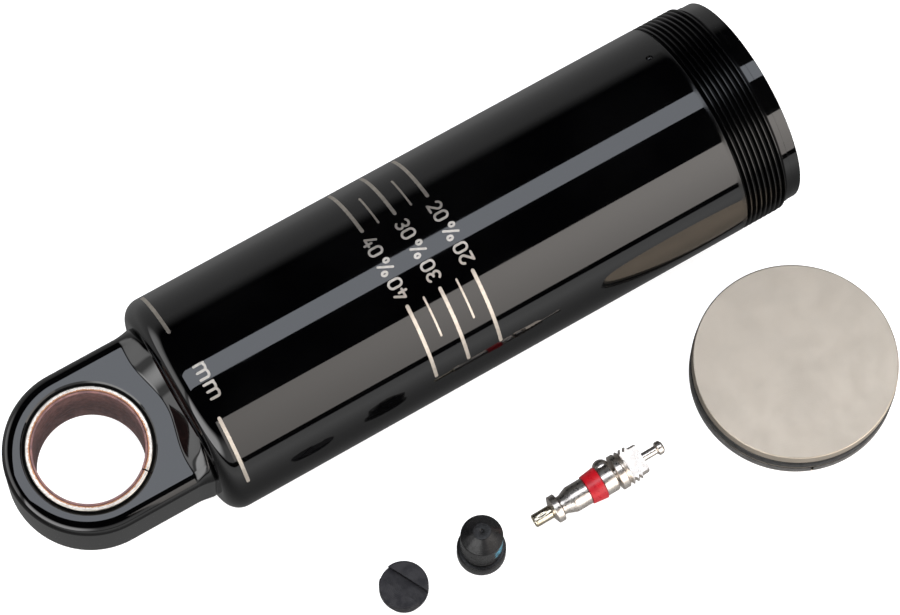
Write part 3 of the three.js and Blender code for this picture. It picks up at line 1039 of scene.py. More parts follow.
# ---------------------------------------------------------------- scale marks


def arc(centre: Point, size: Point, start: float, end: float, steps: int = 12) -> list[Vector]:
    """Points along an ellipse.

    Args:
        centre: its centre.
        size: its two half sizes.
        start: the first angle in degrees.
        end: the last angle in degrees.
        steps: stretches between them.

    Returns:
        The points.
    """
    angles = (math.radians(start + (end - start) * k / steps) for k in range(steps + 1))
    return [Vector((centre[0] + size[0] * math.cos(a), centre[1] + size[1] * math.sin(a))) for a in angles]


def line(*points: Point) -> list[Vector]:
    """A stroke of straight stretches."""
    return [Vector(point) for point in points]


@dataclass(frozen=True)
class Lettering:
    """Plain figures drawn as strokes, one high, about their own middle.

    Attributes:
        weight: the stroke's width.
        half_width: half a figure's width, to the stroke's middle.
    """

    weight: float = 0.155
    half_width: float = 0.245

    @property
    def half_height(self) -> float:
        """Half a figure's height, to the stroke's middle."""
        return (1 - self.weight) / 2

    def nought(self) -> list[list[Vector]]:
        """The figure 0, as two halves.

        Returns:
            Its strokes.
        """
        a, b = self.half_width, self.half_height
        turn = b - a
        right = arc((0, -turn), (a, a), -90, 0) + arc((0, turn), (a, a), 0, 90)
        return [right, [Vector((-p.x, p.y)) for p in right]]

    def two(self) -> list[list[Vector]]:
        """The figure 2.

        Returns:
            Its strokes.
        """
        a, b = self.half_width, self.half_height
        hook = arc((0, b - a), (a, a), 170, -35) + line((-a, -b))
        return [hook, line((-a, -b), (a, -b))]

    def three(self) -> list[list[Vector]]:
        """The figure 3.

        Returns:
            Its strokes.
        """
        a, b = self.half_width * 0.96, self.half_height
        bowl = b / 2
        return [
            arc((0, bowl), (a, bowl), 150, -90),
            arc((0, -bowl), (a, bowl), 90, -150),
        ]

    def four(self) -> list[list[Vector]]:
        """The figure 4.

        Returns:
            Its strokes.
        """
        a, b = self.half_width, self.half_height
        bar = -0.2
        return [
            line((0.04, b), (-a - 0.02, bar)),
            line((-a - 0.02, bar), (a + 0.03, bar)),
            line((0.12, 0.06), (0.12, -b)),
        ]

    def percent(self) -> list[list[Vector]]:
        """The percent sign.

        Returns:
            Its strokes.
        """
        b = self.half_height
        size, drop, out = (0.125, 0.165), b - 0.165, 0.35
        rings = []
        for x, y in ((-out, drop), (out, -drop)):
            rings += [arc((x, y), size, -90, 90), arc((x, y), size, 90, 270)]
        return [*rings, line((-0.2, -b), (0.2, b))]

    def letter_m(self) -> list[list[Vector]]:
        """The letter m, as high as a small letter.

        Returns:
            Its strokes.
        """
        foot, top, leg = -0.37, 0.2, 0.53
        bend = leg / 2
        strokes = [line((-leg, foot), (-leg, 0.36))]
        for x in (-bend, bend):
            strokes.append(arc((x, top), (bend, 0.16), 160, 0) + line((x + bend, foot)))
        return strokes


@dataclass
class ScaleMarks:
    """The etched stroke scale: lines round the tube and their figures.

    Places along the tube are measured from its eyelet, and angles from its top towards the row of
    small pieces.
    """

    place: Vector
    radius: float = 15.995
    thickness: float = 0.04
    full_line: float = 0.52
    thin_line: float = 0.3
    first: float = 45.41
    spacing: float = 5.065
    figures: tuple[str, ...] = ("40", "30", "20")
    full_spans: tuple[Point, ...] = ((-60.0, -14.6), (27.6, 73.0))
    thin_spans: tuple[Point, ...] = ((-37.0, -15.0), (28.0, 50.6))
    end_line: float = 16.26
    end_spans: tuple[Point, ...] = ((-60.0, -17.0), (31.0, 73.0))
    text_angle: float = 6.85
    text_height: float = 2.18
    inner_figure: float = 2.58
    outer_figure: float = 4.2
    unit_angles: Point = (8.3, 18.4)
    unit_place: float = 17.25
    unit_height: float = 1.93
    unit_weight: float = 1.2
    letters: Lettering = field(default_factory=Lettering)

    def _round(self, angle: float) -> float:
        """The distance round the tube for an angle in degrees."""
        return math.radians(angle) * self.radius

    def _ribbon(self, points: Sequence[Vector], width: float, caps: int = 6) -> list[Vector]:
        """The outline of a stroke with round ends.

        Args:
            points: the stroke's middle.
            width: its width.
            caps: flats in each round end.

        Returns:
            The outline.
        """
        sides: tuple[list[Vector], list[Vector]] = ([], [])
        count = len(points)
        for i, point in enumerate(points):
            ahead = (points[min(i + 1, count - 1)] - points[max(i - 1, 0)]).normalized()
            across = Vector((-ahead.y, ahead.x)) * width / 2
            sides[0].append(point + across)
            sides[1].append(point - across)
        rounds = []
        for end, side in ((points[-1], sides[0][-1]), (points[0], sides[1][0])):
            turns = (Matrix.Rotation(-math.pi * k / caps, 2) for k in range(1, caps))
            rounds.append([end + turn @ (side - end) for turn in turns])
        outline = [*sides[0], *rounds[0], *reversed(sides[1]), *rounds[1]]
        return outline[::-1]

    def _fill(self, shape: Shape, strokes: Iterable[Sequence[Vector]], width: float, to_tube: Matrix) -> None:
        """Adds a mark to the flat sheet: the area that its strokes cover.

        Args:
            shape: the flat sheet, (along the tube, round the tube).
            strokes: the strokes' middles.
            width: their width.
            to_tube: carries the mark's own coordinates to the sheet.
        """
        coords: list[Vector] = []
        outlines: list[list[int]] = []
        for stroke in strokes:
            outline = self._ribbon(stroke, width)
            outlines.append(list(range(len(coords), len(coords) + len(outline))))
            coords += outline
        points, _, faces, _, _, inside = delaunay_2d_cdt(coords, [], outlines, 1, 1e-6, True)
        verts = [shape.verts.new(to_tube @ Vector((p.x, p.y, 0.0))) for p in points]
        for corners, sources in zip(faces, inside):
            if sources:
                shape.faces.new([verts[i] for i in corners])

    def _line(self, shape: Shape, along: float, span: Point, width: float) -> None:
        """Adds one line of the scale, shortened by its round ends."""
        ends = [self._round(span[0]) + width / 2, self._round(span[1]) - width / 2]
        self._fill(shape, [line((along, ends[0]), (along, ends[1]))], width, Matrix.Identity(4))

    def _sign(
        self, shape: Shape, strokes: list[list[Vector]], place: Point, height: float, turned: bool = False,
        weight: float = 1.0,
    ) -> None:
        """Adds one figure or letter.

        Args:
            shape: the flat sheet.
            strokes: the figure's strokes, one high.
            place: where its middle is, along and round the tube.
            height: its height.
            turned: True if its top is towards the eyelet.
            weight: how much heavier its strokes are than the figures'.
        """
        turn = Matrix.Rotation(math.radians(90 if turned else -90), 4, "Z")
        mirror = Matrix.Diagonal((1.0, -1.0, 1.0, 1.0))
        to_tube = Matrix.Translation((*place, 0.0)) @ mirror @ turn @ Matrix.Scale(height, 4)
        self._fill(shape, strokes, self.letters.weight * weight, to_tube)

    def _figures(self, shape: Shape, text: str, along: float) -> None:
        """Adds one row of figures: the number, the percent sign, and the number turned round.

        Args:
            shape: the flat sheet.
            text: the number's figures.
            along: the row's place along the tube.
        """
        drawn: dict[str, Callable[[], list[list[Vector]]]] = {
            "0": self.letters.nought,
            "2": self.letters.two,
            "3": self.letters.three,
            "4": self.letters.four,
        }
        middle, height = self._round(self.text_angle), self.text_height
        self._sign(shape, self.letters.percent(), (along, middle), height)
        for figure, reach in zip(text, (self.outer_figure, self.inner_figure)):
            self._sign(shape, drawn[figure](), (along, middle - reach), height)
            self._sign(shape, drawn[figure](), (along, middle + reach), height, turned=True)

    def _wrap(self, shape: Shape) -> None:
        """Cuts the flat sheet into narrow strips, thickens it and bends it round the tube.

        Args:
            shape: the flat sheet.
        """
        strip = math.radians(1.5) * self.radius
        low = min(v.co.y for v in shape.verts)
        high = max(v.co.y for v in shape.verts)
        for k in range(1, int((high - low) / strip) + 1):
            geom = [*shape.verts, *shape.edges, *shape.faces]
            cut = (0, low + k * strip, 0)
            bmesh.ops.bisect_plane(shape, geom=geom, dist=WELD, plane_co=cut, plane_no=(0, 1, 0))
        raised = bmesh.ops.extrude_face_region(shape, geom=list(shape.faces), use_keep_orig=True)["geom"]
        for vert in (g for g in raised if isinstance(g, bmesh.types.BMVert)):
            vert.co.z -= self.thickness
        for vert in shape.verts:
            along, round_tube, height = vert.co
            angle, radius = round_tube / self.radius, self.radius + height
            vert.co = (along, -radius * math.sin(angle), radius * math.cos(angle))

    def build(self) -> list[bpy.types.Object]:
        """Makes the marks.

        Returns:
            All of them as one piece.
        """
        shape = bmesh.new()
        for k, text in enumerate(self.figures):
            along = self.first + k * self.spacing
            for span in self.full_spans:
                self._line(shape, along, span, self.full_line)
            self._figures(shape, text, along)
            if k:
                for span in self.thin_spans:
                    self._line(shape, along - self.spacing / 2, span, self.thin_line)
        for span in self.end_spans:
            self._line(shape, self.end_line, span, self.full_line)
        for angle in self.unit_angles:
            place = (self.unit_place, self._round(angle))
            self._sign(shape, self.letters.letter_m(), place, self.unit_height, weight=self.unit_weight)
        self._wrap(shape)
        return [publish(shape, "stroke_scale", MARKS, Body.DAMPER, frame_at(self.place))]


# ---------------------------------------------------------------- floating piston


@dataclass
class FloatingPiston:
    """The floating piston, a faced disc with a seal and a split glide ring."""

    place: Vector
    radius: float = 14.47
    seal_radius: float = 14.61
    height: float = 6.0
    edge: float = 0.22
    glide: Point = (0.5, 1.9)
    seal: Point = (2.15, 4.1)
    glide_section: float = 1.7
    seal_section: float = 2.2
    gap: float = 0.05
    split: float = 0.35
    split_angle: float = math.radians(-112)
    rounds: int = 192

    def disc(self) -> Shape:
        """The disc with its two grooves.

        Returns:
            The shape.
        """
        r, edge = self.radius, self.edge
        corners: list[Point] = [(0, 0), (0, r, edge), (self.glide[0], r, 0.06)]
        for (low, high), section in ((self.glide, self.glide_section), (self.seal, self.seal_section)):
            floor = r - section
            if low != self.glide[0]:
                corners.append((low, r, 0.05))
            corners += [(low, floor, 0.1), (high, floor, 0.1), (high, r, 0.05)]
        corners += [(self.height, r, edge), (self.height, 0)]
        return lathe(rounded(corners, steps=4), self.rounds)

    def ring(self, span: Point, section: float, edge: float) -> Shape:
        """A ring in one of the grooves.

        Args:
            span: the groove's low and high side.
            section: its depth.
            edge: the round on the ring's outer edges.

        Returns:
            The shape.
        """
        low, high = span[0] + self.gap, span[1] - self.gap
        inner, outer = self.radius - section + self.gap, self.seal_radius
        corners = [(low, inner, 0.1), (low, outer, edge), (high, outer, edge), (high, inner, 0.1)]
        return lathe(rounded(corners), self.rounds, ring=True)

    def build(self) -> list[bpy.types.Object]:
        """Makes the disc, the seal and the glide ring.

        Returns:
            The three pieces.
        """
        place = frame_at(self.place, UPRIGHT)
        glide = self.ring(self.glide, self.glide_section, 0.12)
        turn = UPRIGHT.inverted() @ Matrix.Rotation(self.split_angle, 4, "Z")
        slit = block((4 * self.glide_section, self.split, 4 * self.height), (self.radius, 0, 0), turn)
        glide = combined(glide, slit, Cut.TAKE_AWAY)
        seal = self.ring(self.seal, self.seal_section, 0.4)
        return [
            publish(self.disc(), "ifp_piston_disc", PISTON, Body.PISTON, place, "ifp_piston"),
            publish(seal, "ifp_seal_ring", RUBBER, Body.PISTON, place, "ifp_seal"),
            publish(glide, "ifp_glide_band", GLIDE, Body.PISTON, place, "ifp_glide_ring"),
        ]


# ---------------------------------------------------------------- valve core


@dataclass
class ValveCore:
    """The gas valve core. Places along it are measured from the tip of the crimped sleeve."""

    place: Vector
    axis: Vector
    pin: float = 0.62
    bore: float = 0.7
    pin_start: float = 0.3
    collar: Point = (11.15, 11.55)
    collar_radius: float = 1.15
    head: Point = (20.0, 21.05)
    head_radius: float = 1.0
    sleeve_radius: float = 0.97
    sleeve_length: float = 2.8
    cup: Point = (2.85, 4.15)
    cup_radius: float = 2.03
    cup_foot: float = 1.22
    cup_wall: float = 0.4
    mouth: float = 4.25
    mouth_radius: float = 1.4
    flare: Point = (4.75, 6.1)
    barrel_radius: float = 1.95
    gasket: Point = (8.6, 10.85)
    gasket_radius: Point = (2.12, 2.4)
    seat_radius: float = 1.57
    chamber: float = 1.27
    bell_end: float = 12.95
    bell_radius: float = 2.2
    bell_bore: float = 1.55
    ear_radius: float = 1.25
    ear_reach: float = 1.68
    roll: float = math.radians(-75)
    tab_roll: float = math.radians(-80.5)
    stem_radius: float = 1.0
    plug_start: float = 13.2
    plug_end: float = 17.6
    thread_radius: float = 2.6
    thread_depth: float = 0.38
    pitch: float = 0.7
    tab_start: float = 14.95
    tab: float = 2.4
    wire: float = 0.28
    coils: int = 6
    rounds: int = 96

    def sleeve(self) -> Shape:
        """The crimped sleeve, dented on four sides.

        Returns:
            The shape.
        """
        r = self.sleeve_radius
        corners = [(0, self.bore, 0.05), (0, r, 0.22)]
        corners += [(self.sleeve_length, r, 0.1), (self.sleeve_length, self.bore)]
        shape = lathe(rounded(corners), 64, ring=True)
        for place in (0.75, 1.15, 1.55, 1.95, 2.35):
            geom = [*shape.verts, *shape.edges, *shape.faces]
            bmesh.ops.bisect_plane(shape, geom=geom, dist=WELD, plane_co=(place, 0, 0), plane_no=(1, 0, 0))
        for vert in (v for v in shape.verts if v.co.yz.length > self.bore + 0.1):
            angle = math.atan2(vert.co.z, vert.co.y)
            dent = 0.16 * max(0.0, math.cos(4 * angle)) ** 2 * math.exp(-(((vert.co.x - 1.35) / 0.5) ** 2))
            vert.co.yz *= 1 - dent / r
        return shape

    def pin_shape(self) -> Shape:
        """The pin with its riveted end, spring collar and round head.

        Returns:
            The shape.
        """
        low, high = self.collar
        start, end = self.head
        r, head = self.pin, self.head_radius
        corners = [
            (self.pin_start, 0), (self.pin_start, r, 0.15), (low, r), (low, self.collar_radius, 0.05),
            (high, self.collar_radius, 0.05), (high, r), (start - 0.12, r, 0.1), (start + 0.1, head, 0.12),
            (end - 0.3, head, 0.2), (end, head * 0.55, 0.2), (end - 0.08, 0),
        ]
        return lathe(rounded(corners), 64)

    def cup_shape(self) -> Shape:
        """The cup that carries the sealing washer.

        Returns:
            The shape.
        """
        low, high = self.cup
        r, wall = self.cup_radius, self.cup_wall
        corners = [
            (low, self.bore), (low, self.cup_foot, 0.1), (low + 0.3, r, 0.2), (high, r, 0.12),
            (high, r - wall, 0.08), (low + wall, r - wall), (low + wall, self.bore),
        ]
        return lathe(rounded(corners), self.rounds, ring=True)

    def cup_seal(self) -> Shape:
        """The washer in the cup.

        Returns:
            The shape.
        """
        outer = self.cup_radius - self.cup_wall - 0.05
        low, high = self.cup[0] + self.cup_wall + 0.05, self.cup[1]
        corners = [(low, self.bore), (low, outer, 0.08), (high, outer, 0.1), (high, self.bore, 0.08)]
        return lathe(rounded(corners), self.rounds, ring=True)

    def barrel(self) -> Shape:
        """The barrel: mouth, flare, lower barrel, gasket seat, and the bell with its ear.

        Returns:
            The shape.
        """
        low, high = self.gasket[0] - 0.05, self.gasket[1] + 0.05
        lip = self.stem_radius + 0.08
        bore = self.bore + 0.1
        corners = [
            (self.mouth, bore), (self.mouth, self.mouth_radius, 0.12),
            (self.flare[0], self.mouth_radius, 0.5), (self.flare[1], self.barrel_radius, 0.9),
            (low, self.barrel_radius, 0.08), (low, self.seat_radius),
            (high, self.seat_radius + 0.15), (high, self.bell_radius, 0.1),
            (self.bell_end, self.bell_radius, 0.42), (self.bell_end, lip, 0.05),
            (self.bell_end - 0.3, lip), (self.bell_end - 0.3, self.bell_bore),
            (high + 0.35, self.bell_bore), (high - 0.15, self.chamber),
            (self.flare[1] - 0.2, self.chamber), (self.flare[1] - 0.2, bore),
        ]
        turned = lathe(rounded(corners), self.rounds, ring=True)
        return combined(turned, self._ear(high), Cut.ADD)

    def _ear(self, low: float) -> Shape:
        """The rounded ear pressed out of the bell, kept outside the bell's bore.

        Args:
            low: where the bell starts.

        Returns:
            The shape.
        """
        middle = (self.gasket[1] + self.bell_end) / 2
        ear = bmesh.new()
        place = Matrix.Rotation(self.roll, 4, "X") @ Matrix.Translation((middle, 0, self.ear_reach))
        bmesh.ops.create_uvsphere(ear, u_segments=40, v_segments=24, radius=self.ear_radius, matrix=place)
        before, past, room = low - 1, self.bell_end + 1, self.bell_bore + 0.1
        hollow = lathe(rounded([(before, 0), (before, room), (past, room), (past, 0)]), 64)
        return combined(ear, hollow, Cut.TAKE_AWAY)

    def gasket_shape(self) -> Shape:
        """The tapered gasket.

        Returns:
            The shape.
        """
        (low, high), (small, large) = self.gasket, self.gasket_radius
        inner = self.seat_radius + 0.2
        corners = [(low, inner), (low, small, 0.08), (high, large, 0.1), (high, inner)]
        return lathe(rounded(corners), self.rounds, ring=True)

    def plug(self) -> Shape:
        """The swivel plug: stem, threaded head, and the flat tab that a valve tool turns.

        Returns:
            The shape.
        """
        start = self.plug_start + 0.12
        thread = Thread(start, self.thread_radius, 4.5, self.pitch, self.thread_depth, fade=0.2)
        root = self.thread_radius - self.thread_depth
        foot = self.bell_bore - 0.08
        before = [
            (self.bell_end - 1.1, self.bore), (self.bell_end - 1.1, foot, 0.08),
            (self.bell_end - 0.4, foot, 0.05), (self.bell_end - 0.4, self.stem_radius),
            (self.plug_start, self.stem_radius),
            (self.plug_start, root, 0.06), (thread.start, self.thread_radius),
        ]
        after = [
            (thread.end, root), (self.plug_end, root - 0.05, 0.12),
            (self.plug_end, self.bore, 0.08), (self.bell_end - 1.1, self.bore),
        ]
        outline = [*rounded(before)[:-1], *thread.outline(), *rounded(after)[1:-1]]
        turned = lathe(outline, self.rounds, ring=True, thread=thread)
        length = self.plug_end - self.tab_start + 1
        wide = self.thread_radius * 2
        turn = Matrix.Rotation(self.tab_roll, 4, "X")
        for side in (-1, 1):
            centre = (self.tab_start + length / 2, side * (self.tab + wide) / 2, 0)
            turned = combined(turned, block((length, wide, 2 * wide), centre, turn), Cut.TAKE_AWAY)
        return turned

    def spring(self) -> Shape:
        """The return spring, coiled round the pin.

        Returns:
            The shape.
        """
        start, end = self.flare[1] + 1.5 * self.wire, self.collar[0] - 1.5 * self.wire
        shape = bmesh.new()
        middle = (self.bore + self.chamber) / 2
        place = Matrix.Translation((start, 0, middle)) @ Matrix.Rotation(math.radians(90), 4, "X")
        bmesh.ops.create_circle(shape, cap_ends=True, segments=10, radius=self.wire / 2, matrix=place)
        steps = self.coils * 28
        bmesh.ops.spin(
            shape, geom=[*shape.verts, *shape.edges, *shape.faces], cent=(0, 0, 0), axis=(1, 0, 0),
            dvec=((end - start) / steps, 0, 0), angle=self.coils * FULL, steps=steps, use_merge=False,
        )
        return shape

    def build(self) -> list[bpy.types.Object]:
        """Makes the core.

        Returns:
            Its eight pieces.
        """
        turn = Vector((1, 0, 0)).rotation_difference(self.axis).to_matrix().to_4x4()
        place = frame_at(self.place, turn)
        rows = [
            (self.sleeve(), "core_sleeve_crimped", BRASS, Body.PIN, "core_sleeve"),
            (self.pin_shape(), "core_pin_headed", NICKEL, Body.PIN, "core_pin"),
            (self.cup_shape(), "core_cup_turned", NICKEL, Body.PIN, "core_cup"),
            (self.cup_seal(), "core_cup_washer", RUBBER, Body.PIN, "core_cup_seal"),
            (self.barrel(), "core_barrel_turned", NICKEL, Body.BARREL, "core_barrel"),
            (self.gasket_shape(), "core_gasket_ring", GASKET, Body.BARREL, "core_gasket"),
            (self.plug(), "core_plug_threaded", NICKEL, Body.PLUG, "core_plug"),
            (self.spring(), "core_spring_coil", SPRING, Body.BARREL, "core_spring"),
        ]
        pieces = [publish(shape, name, finish, body, place, node) for shape, name, finish, body, node in rows]
        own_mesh(pieces[-1])
        return pieces


# ---------------------------------------------------------------- port plugs


@dataclass
class PortPlug:
    """What the two plugs of the gas port share."""

    place: Vector
    head_radius: float = 3.43
    shank_radius: float = 2.95
    ring_section: float = 0.95
    edge: float = 0.3
    rounds: int = 96

    @property
    def groove(self) -> float:
        """The radius of the groove's floor."""
        return self.shank_radius - self.ring_section

    def o_ring(self, low: float) -> Shape:
        """The O-ring in its groove.

        Args:
            low: where the groove starts.

        Returns:
            The shape.
        """
        half = self.ring_section / 2 - 0.05
        middle = Vector((low + self.ring_section / 2, self.shank_radius - 0.05 - half))
        return lathe([middle + p for p in arc((0, 0), (half, half), 0, 337.5, 15)], self.rounds, ring=True)


@dataclass
class ConePlug(PortPlug):
    """The cone-ended sealing plug, standing on its head."""

    head: float = 2.6
    shank: float = 4.5
    cone: float = 2.0
    tip: float = 1.25
    dimple: float = 0.35

    def body(self) -> Shape:
        """The plug, turned.

        Returns:
            The shape.
        """
        start = self.head + self.ring_section
        shoulder = start + self.shank
        top = shoulder + self.cone
        corners = [
            (0, 0), (0, self.head_radius, self.edge), (self.head, self.head_radius, 0.25),
            (self.head, self.groove, 0.1), (start, self.groove, 0.1), (start, self.shank_radius, 0.12),
            (shoulder, self.shank_radius, 0.35), (top, self.tip, 0.18), (top, self.dimple, 0.04),
            (top - self.dimple, 0),
        ]
        return lathe(rounded(corners), self.rounds)

    def build(self) -> list[bpy.types.Object]:
        """Makes the plug and its O-ring.

        Returns:
            The two pieces.
        """
        place = frame_at(self.place, UPRIGHT)
        return [
            publish(self.body(), "cone_plug_turned", CONE_BLACK, Body.CONE, place, "cone_plug"),
            publish(self.o_ring(self.head), "cone_plug_seal", RUBBER, Body.CONE, place, "cone_plug_o_ring"),
        ]


@dataclass
class SlottedPlug(PortPlug):
    """The slotted cover plug, standing on its flange with the slot up."""

    flange: float = 1.1
    head: float = 2.1
    slot: Point = (2.1, 1.05)
    slot_angle: float = math.radians(-63.7)

    def body(self) -> Shape:
        """The plug, turned and slotted.

        Returns:
            The shape.
        """
        start = self.flange + self.ring_section
        top = start + self.head
        corners = [
            (0, 0), (0, self.shank_radius, 0.2), (self.flange, self.shank_radius, 0.1),
            (self.flange, self.groove, 0.1), (start, self.groove, 0.1), (start, self.head_radius, 0.25),
            (top, self.head_radius, 0.28), (top, 0),
        ]
        wide, deep = self.slot
        turn = UPRIGHT.inverted() @ Matrix.Rotation(self.slot_angle, 4, "Z")
        slot = block((3 * self.head_radius, wide, 2 * deep), (0, 0, top), turn)
        return combined(lathe(rounded(corners), self.rounds), slot, Cut.TAKE_AWAY)

    def build(self) -> list[bpy.types.Object]:
        """Makes the plug and its O-ring.

        Returns:
            The two pieces.
        """
        place = frame_at(self.place, UPRIGHT)
        ring = self.o_ring(self.flange)
        return [
            publish(self.body(), "slotted_plug_cut", SLOT_BLACK, Body.SLOTTED, place, "slotted_plug"),
            publish(ring, "slotted_plug_seal", RUBBER, Body.SLOTTED, place, "slotted_plug_o_ring"),
        ]


# ---------------------------------------------------------------- studio


@dataclass(frozen=True)
class Panel:
    """Attributes:
        name: its name.
        centre: its centre, in millimetres.
        size: its width and height.
        turn: how it is turned from lying flat.
        colour: its colour.
        glow: its brightness, or its brightness at the hot spot.
        hot_spot: the brightest place, for a panel that fades.
        fade: how far from it the panel is at its dimmest.
        dimmest: its brightness there.
    """

    name: str
    centre: Point
    size: Point
    turn: Euler
    colour: Colour
    glow: float
    hot_spot: Point | None = None
    fade: float = 1.0
    dimmest: float = 0.0

    def build(self) -> bpy.types.Object:
        """Makes the panel.

        Returns:
            The panel, hidden from the camera and casting no shadow.
        """
        shape = bmesh.new()
        place = Matrix.Translation(self.centre) @ self.turn.to_matrix().to_4x4()
        place = Matrix.Scale(MM, 4) @ place @ Matrix.Diagonal((self.size[0] / 2, self.size[1] / 2, 1.0, 1.0))
        bmesh.ops.create_grid(shape, x_segments=1, y_segments=1, size=1.0, matrix=place)
        mesh = bpy.data.meshes.new(self.name)
        shape.to_mesh(mesh)
        shape.free()
        mesh.materials.append(self._glow())
        panel = bpy.data.objects.new(self.name, mesh)
        bpy.context.scene.collection.objects.link(panel)
        panel.visible_camera = False
        panel.visible_shadow = False
        return panel

    def _glow(self) -> bpy.types.Material:
        """The panel's glow, even or fading from its hot spot.

        Returns:
            The material.
        """
        spot = Vector(self.hot_spot or (0, 0, 0)) * MM
        graph = Graph(self.name, Matrix.Translation(spot) @ Matrix.Scale(MM * self.fade, 4))
        light = graph.add("ShaderNodeEmission")
        light.inputs["Color"].default_value = (*self.colour, 1.0)
        light.inputs["Strength"].default_value = self.glow
        if self.hot_spot:
            far = graph.radius((1.0, 1.0, 1.0))
            graph.link(graph.spread(far, (0.0, 1.0), (self.glow, self.dimmest)), light.inputs["Strength"])
        output = next(n for n in graph.material.node_tree.nodes if n.type == "OUTPUT_MATERIAL")
        graph.link(light.outputs[0], output.inputs["Surface"])
        return graph.material


@dataclass
class Studio:
    """The pale floor that sweeps up into a cove, the panels and the camera."""

    axis: Vector
    floor_radius: float = 900.0
    cove_round: float = 250.0
    cove_height: float = 620.0
    rim_fade: Point = (240.0, 560.0)
    white: float = 0.6
    floor_glow: float = 0.72
    gloss_glow: float = 0.42
    # Painted shadow: the gloss-only floor glows strongly far out on the near side and weakly right beside the
    # tube.
    painted_shadow_gloss: Point = (2.3, 0.35)
    left_gloss: float = 5.5
    look_at: Point = (8.34, 15.69, 0.0)
    azimuth: float = math.radians(-30.69)
    elevation: float = math.radians(69.03)
    distance: float = 462.4
    lens: float = 129.4

    def bowl(self, name: str, glow: float, seen_in_gloss: bool) -> bpy.types.Object:
        """The floor and the cove round it, whose rim fades to dark; the one that only the gloss shows has a
        painted shadow beside and under the tube.

        Args:
            name: its name.
            glow: how much light its paper lets through.
            seen_in_gloss: True for the one that only the gloss shows, False for the other one.

        Returns:
            The bowl.
        """
        sunk = -0.03 - 0.5 * seen_in_gloss
        wide = self.floor_radius
        corners = [(sunk, 0.0), (sunk, wide, self.cove_round), (self.cove_height, wide)]
        shape = lathe(rounded(corners, steps=16), 96)
        place = frame_at(Vector((0, 0, 0)), UPRIGHT)
        bmesh.ops.transform(shape, matrix=place, verts=shape.verts)
        bmesh.ops.reverse_faces(shape, faces=shape.faces)
        mesh = bpy.data.meshes.new(name)
        shape.to_mesh(mesh)
        shape.free()
        mesh.shade_smooth()
        graph = Graph(name, place)
        fade = graph.spread(graph.axis("X"), self.rim_fade, (1.0, 0.0))
        if seen_in_gloss:
            # Painted shadow: the gloss-only floor glows less beside and under the tube, standing in for the
            # tube's shadow there.
            beside = self.axis.y / MM
            near = graph.spread(graph.axis("Y"), (beside - 80.0, beside - 22.0), self.painted_shadow_gloss)
            far = graph.spread(graph.axis("Y"), (beside, beside + 60.0), (0.0, 1.0))
            left = graph.spread(graph.axis("Z"), (350.0, 600.0), (1.0, self.left_gloss))
            painted_tube_shadow = graph.math("MAXIMUM", near, far)
            fade = graph.math("MULTIPLY", fade, graph.math("MULTIPLY", left, painted_tube_shadow))
        paper = 0.0 if seen_in_gloss else self.white
        inputs = graph.shader.inputs
        inputs["Base Color"].default_value = (paper, paper, paper, 1.0)
        inputs["Emission Color"].default_value = (1.0, 1.0, 1.0, 1.0)
        inputs["Roughness"].default_value = 0.9
        inputs["Specular IOR Level"].default_value = 0.0
        graph.link(graph.math("MULTIPLY", fade, glow), inputs["Emission Strength"])
        mesh.materials.append(graph.material)
        floor = bpy.data.objects.new(name, mesh)
        bpy.context.scene.collection.objects.link(floor)
        floor.visible_camera = not seen_in_gloss
        floor.visible_diffuse = not seen_in_gloss
        floor.visible_glossy = seen_in_gloss
        floor.visible_shadow = not seen_in_gloss
        return floor

    def panels(self) -> list[Panel]:
        """The panels: one overhead, one low beside the row of small pieces.

        Returns:
            The two panels.
        """
        y, z = self.axis.y / MM, self.axis.z / MM
        overhead = Panel(
            "overhead_panel", (80.0, y + 18.0, z + 600.0), (1100.0, 194.0), Euler((math.pi, 0, 0)),
            (0.92, 0.97, 1.06), 3.6,
        )
        side = Panel(
            "side_panel", (285.0, y - 320.0, 160.0), (610.0, 322.0), Euler((math.pi / 2, 0, math.pi)),
            (1.06, 1.0, 0.95), 4.6, (300.0, y - 320.0, 250.0), 480.0, 1.7,
        )
        return [overhead, side]

    def flag(self) -> bpy.types.Object:
        """A black card on the floor before the side panel, seen only in the gloss.

        Returns:
            The card, seen only in the gloss.
        """
        y = self.axis.y / MM
        shape = bmesh.new()
        place = Matrix.Translation(Vector((90.0, y - 230.0, 0.3)) * MM)
        size = Matrix.Diagonal((500.0 * MM, 90.0 * MM, 1.0, 1.0))
        bmesh.ops.create_grid(shape, x_segments=1, y_segments=1, size=1.0, matrix=place @ size)
        mesh = bpy.data.meshes.new("black_card")
        shape.to_mesh(mesh)
        shape.free()
        material = bpy.data.materials.new("black_card")
        material.use_nodes = True
        material.node_tree.nodes["Principled BSDF"].inputs["Base Color"].default_value = (0, 0, 0, 1)
        material.node_tree.nodes["Principled BSDF"].inputs["Specular IOR Level"].default_value = 0.0
        mesh.materials.append(material)
        card = bpy.data.objects.new("black_card", mesh)
        bpy.context.scene.collection.objects.link(card)
        card.visible_camera = False
        card.visible_diffuse = False
        card.visible_shadow = False
        return card

    def fill(self) -> bpy.types.Object:
        """A wide soft fill that lightens the floor and never shows in the gloss.

        Returns:
            The lamp.
        """
        light = bpy.data.lights.new("soft_fill", "AREA")
        light.shape = "DISK"
        light.size = 1.6
        light.energy = 16.0
        lamp = bpy.data.objects.new("soft_fill", light)
        lamp.location = (0.0, 0.0, 1.1)
        lamp.visible_camera = False
        lamp.visible_glossy = False
        bpy.context.scene.collection.objects.link(lamp)
        return lamp

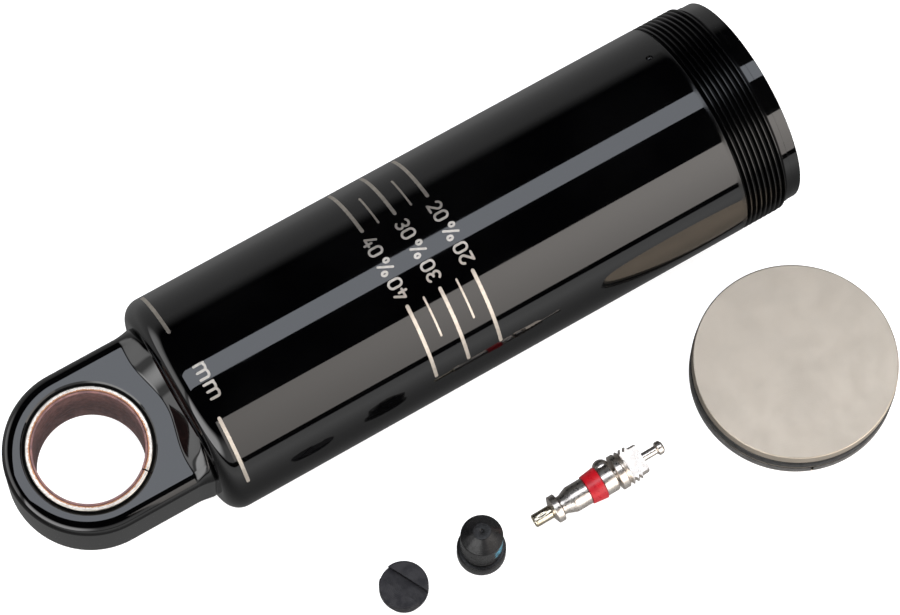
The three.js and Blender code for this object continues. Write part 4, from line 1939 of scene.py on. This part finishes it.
    def camera(self) -> bpy.types.Object:
        """Returns:
            The camera.
        """
        data = bpy.data.cameras.new("camera")
        data.lens = self.lens
        data.sensor_width = 36.0
        data.clip_start, data.clip_end = 0.01, 10.0
        a, e = self.azimuth, self.elevation
        back = Vector((math.sin(a) * math.cos(e), -math.cos(a) * math.cos(e), math.sin(e)))
        camera = bpy.data.objects.new("camera", data)
        camera.location = (Vector(self.look_at) + back * self.distance) * MM
        camera.rotation_euler = (-back).to_track_quat("-Z", "Y").to_euler()
        bpy.context.scene.collection.objects.link(camera)
        bpy.context.scene.camera = camera
        return camera

    def build(self) -> None:
        """Sets up the whole studio."""
        scene = bpy.context.scene
        scene.view_settings.view_transform = "Standard"
        world = bpy.data.worlds.new("dark_room")
        world.use_nodes = True
        world.node_tree.nodes["Background"].inputs["Color"].default_value = (0.004, 0.004, 0.0045, 1.0)
        scene.world = world
        self.camera()
        self.bowl("white_floor", self.floor_glow, seen_in_gloss=False)
        self.bowl("grey_floor", self.gloss_glow, seen_in_gloss=True)
        self.flag()
        self.fill()
        for panel in self.panels():
            panel.build()
            LOG.info("%s is up", panel.name)



def middle_of(node: str) -> Vector:
    """The middle of a node's box, in metres."""
    low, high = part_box(node)
    return (low + high) / 2


def foot_of(node: str) -> Vector:
    """The middle of the underside of a node's box, in metres.

    Args:
        node: the node's name.

    Returns:
        The place.
    """
    low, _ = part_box(node)
    place = middle_of(node)
    return Vector((place.x, place.y, low.z))


def main(frame: dict[str, object]) -> None:
    """Args:
        frame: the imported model's frame.
    """
    tube = middle_of("damper_body")
    eye = Vector((middle_of("bushing_shell").x, tube.y, tube.z))
    swivel = next(joint for joint in frame["joints"] if joint["name"] == "core_plug_swivel")
    body = DamperBody(eye, (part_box("damper_body")[1].x - eye.x) / MM)
    assemblies = [
        body,
        Bushing(eye, body.eye_roll),
        ScaleMarks(eye),
        FloatingPiston(foot_of("ifp_piston")),
        ValveCore(Vector(swivel["pos_m"]), Vector(swivel["axis"]).normalized()),
        ConePlug(foot_of("cone_plug")),
        SlottedPlug(foot_of("slotted_plug")),
    ]
    for assembly in assemblies:
        pieces = assembly.build()
        LOG.info("%s: %d pieces", type(assembly).__name__, len(pieces))
    Studio(tube).build()


logging.basicConfig(level=logging.INFO, format="%(name)s: %(message)s")
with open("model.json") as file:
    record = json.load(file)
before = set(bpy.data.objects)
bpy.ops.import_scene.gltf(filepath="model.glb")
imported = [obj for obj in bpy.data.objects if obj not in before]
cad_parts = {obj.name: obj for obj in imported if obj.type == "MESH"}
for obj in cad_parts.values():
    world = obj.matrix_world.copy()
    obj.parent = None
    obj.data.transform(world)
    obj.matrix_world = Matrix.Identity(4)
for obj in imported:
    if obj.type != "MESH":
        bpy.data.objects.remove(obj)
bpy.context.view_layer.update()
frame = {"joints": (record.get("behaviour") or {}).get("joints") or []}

if __name__ == "__main__":
    main(frame)
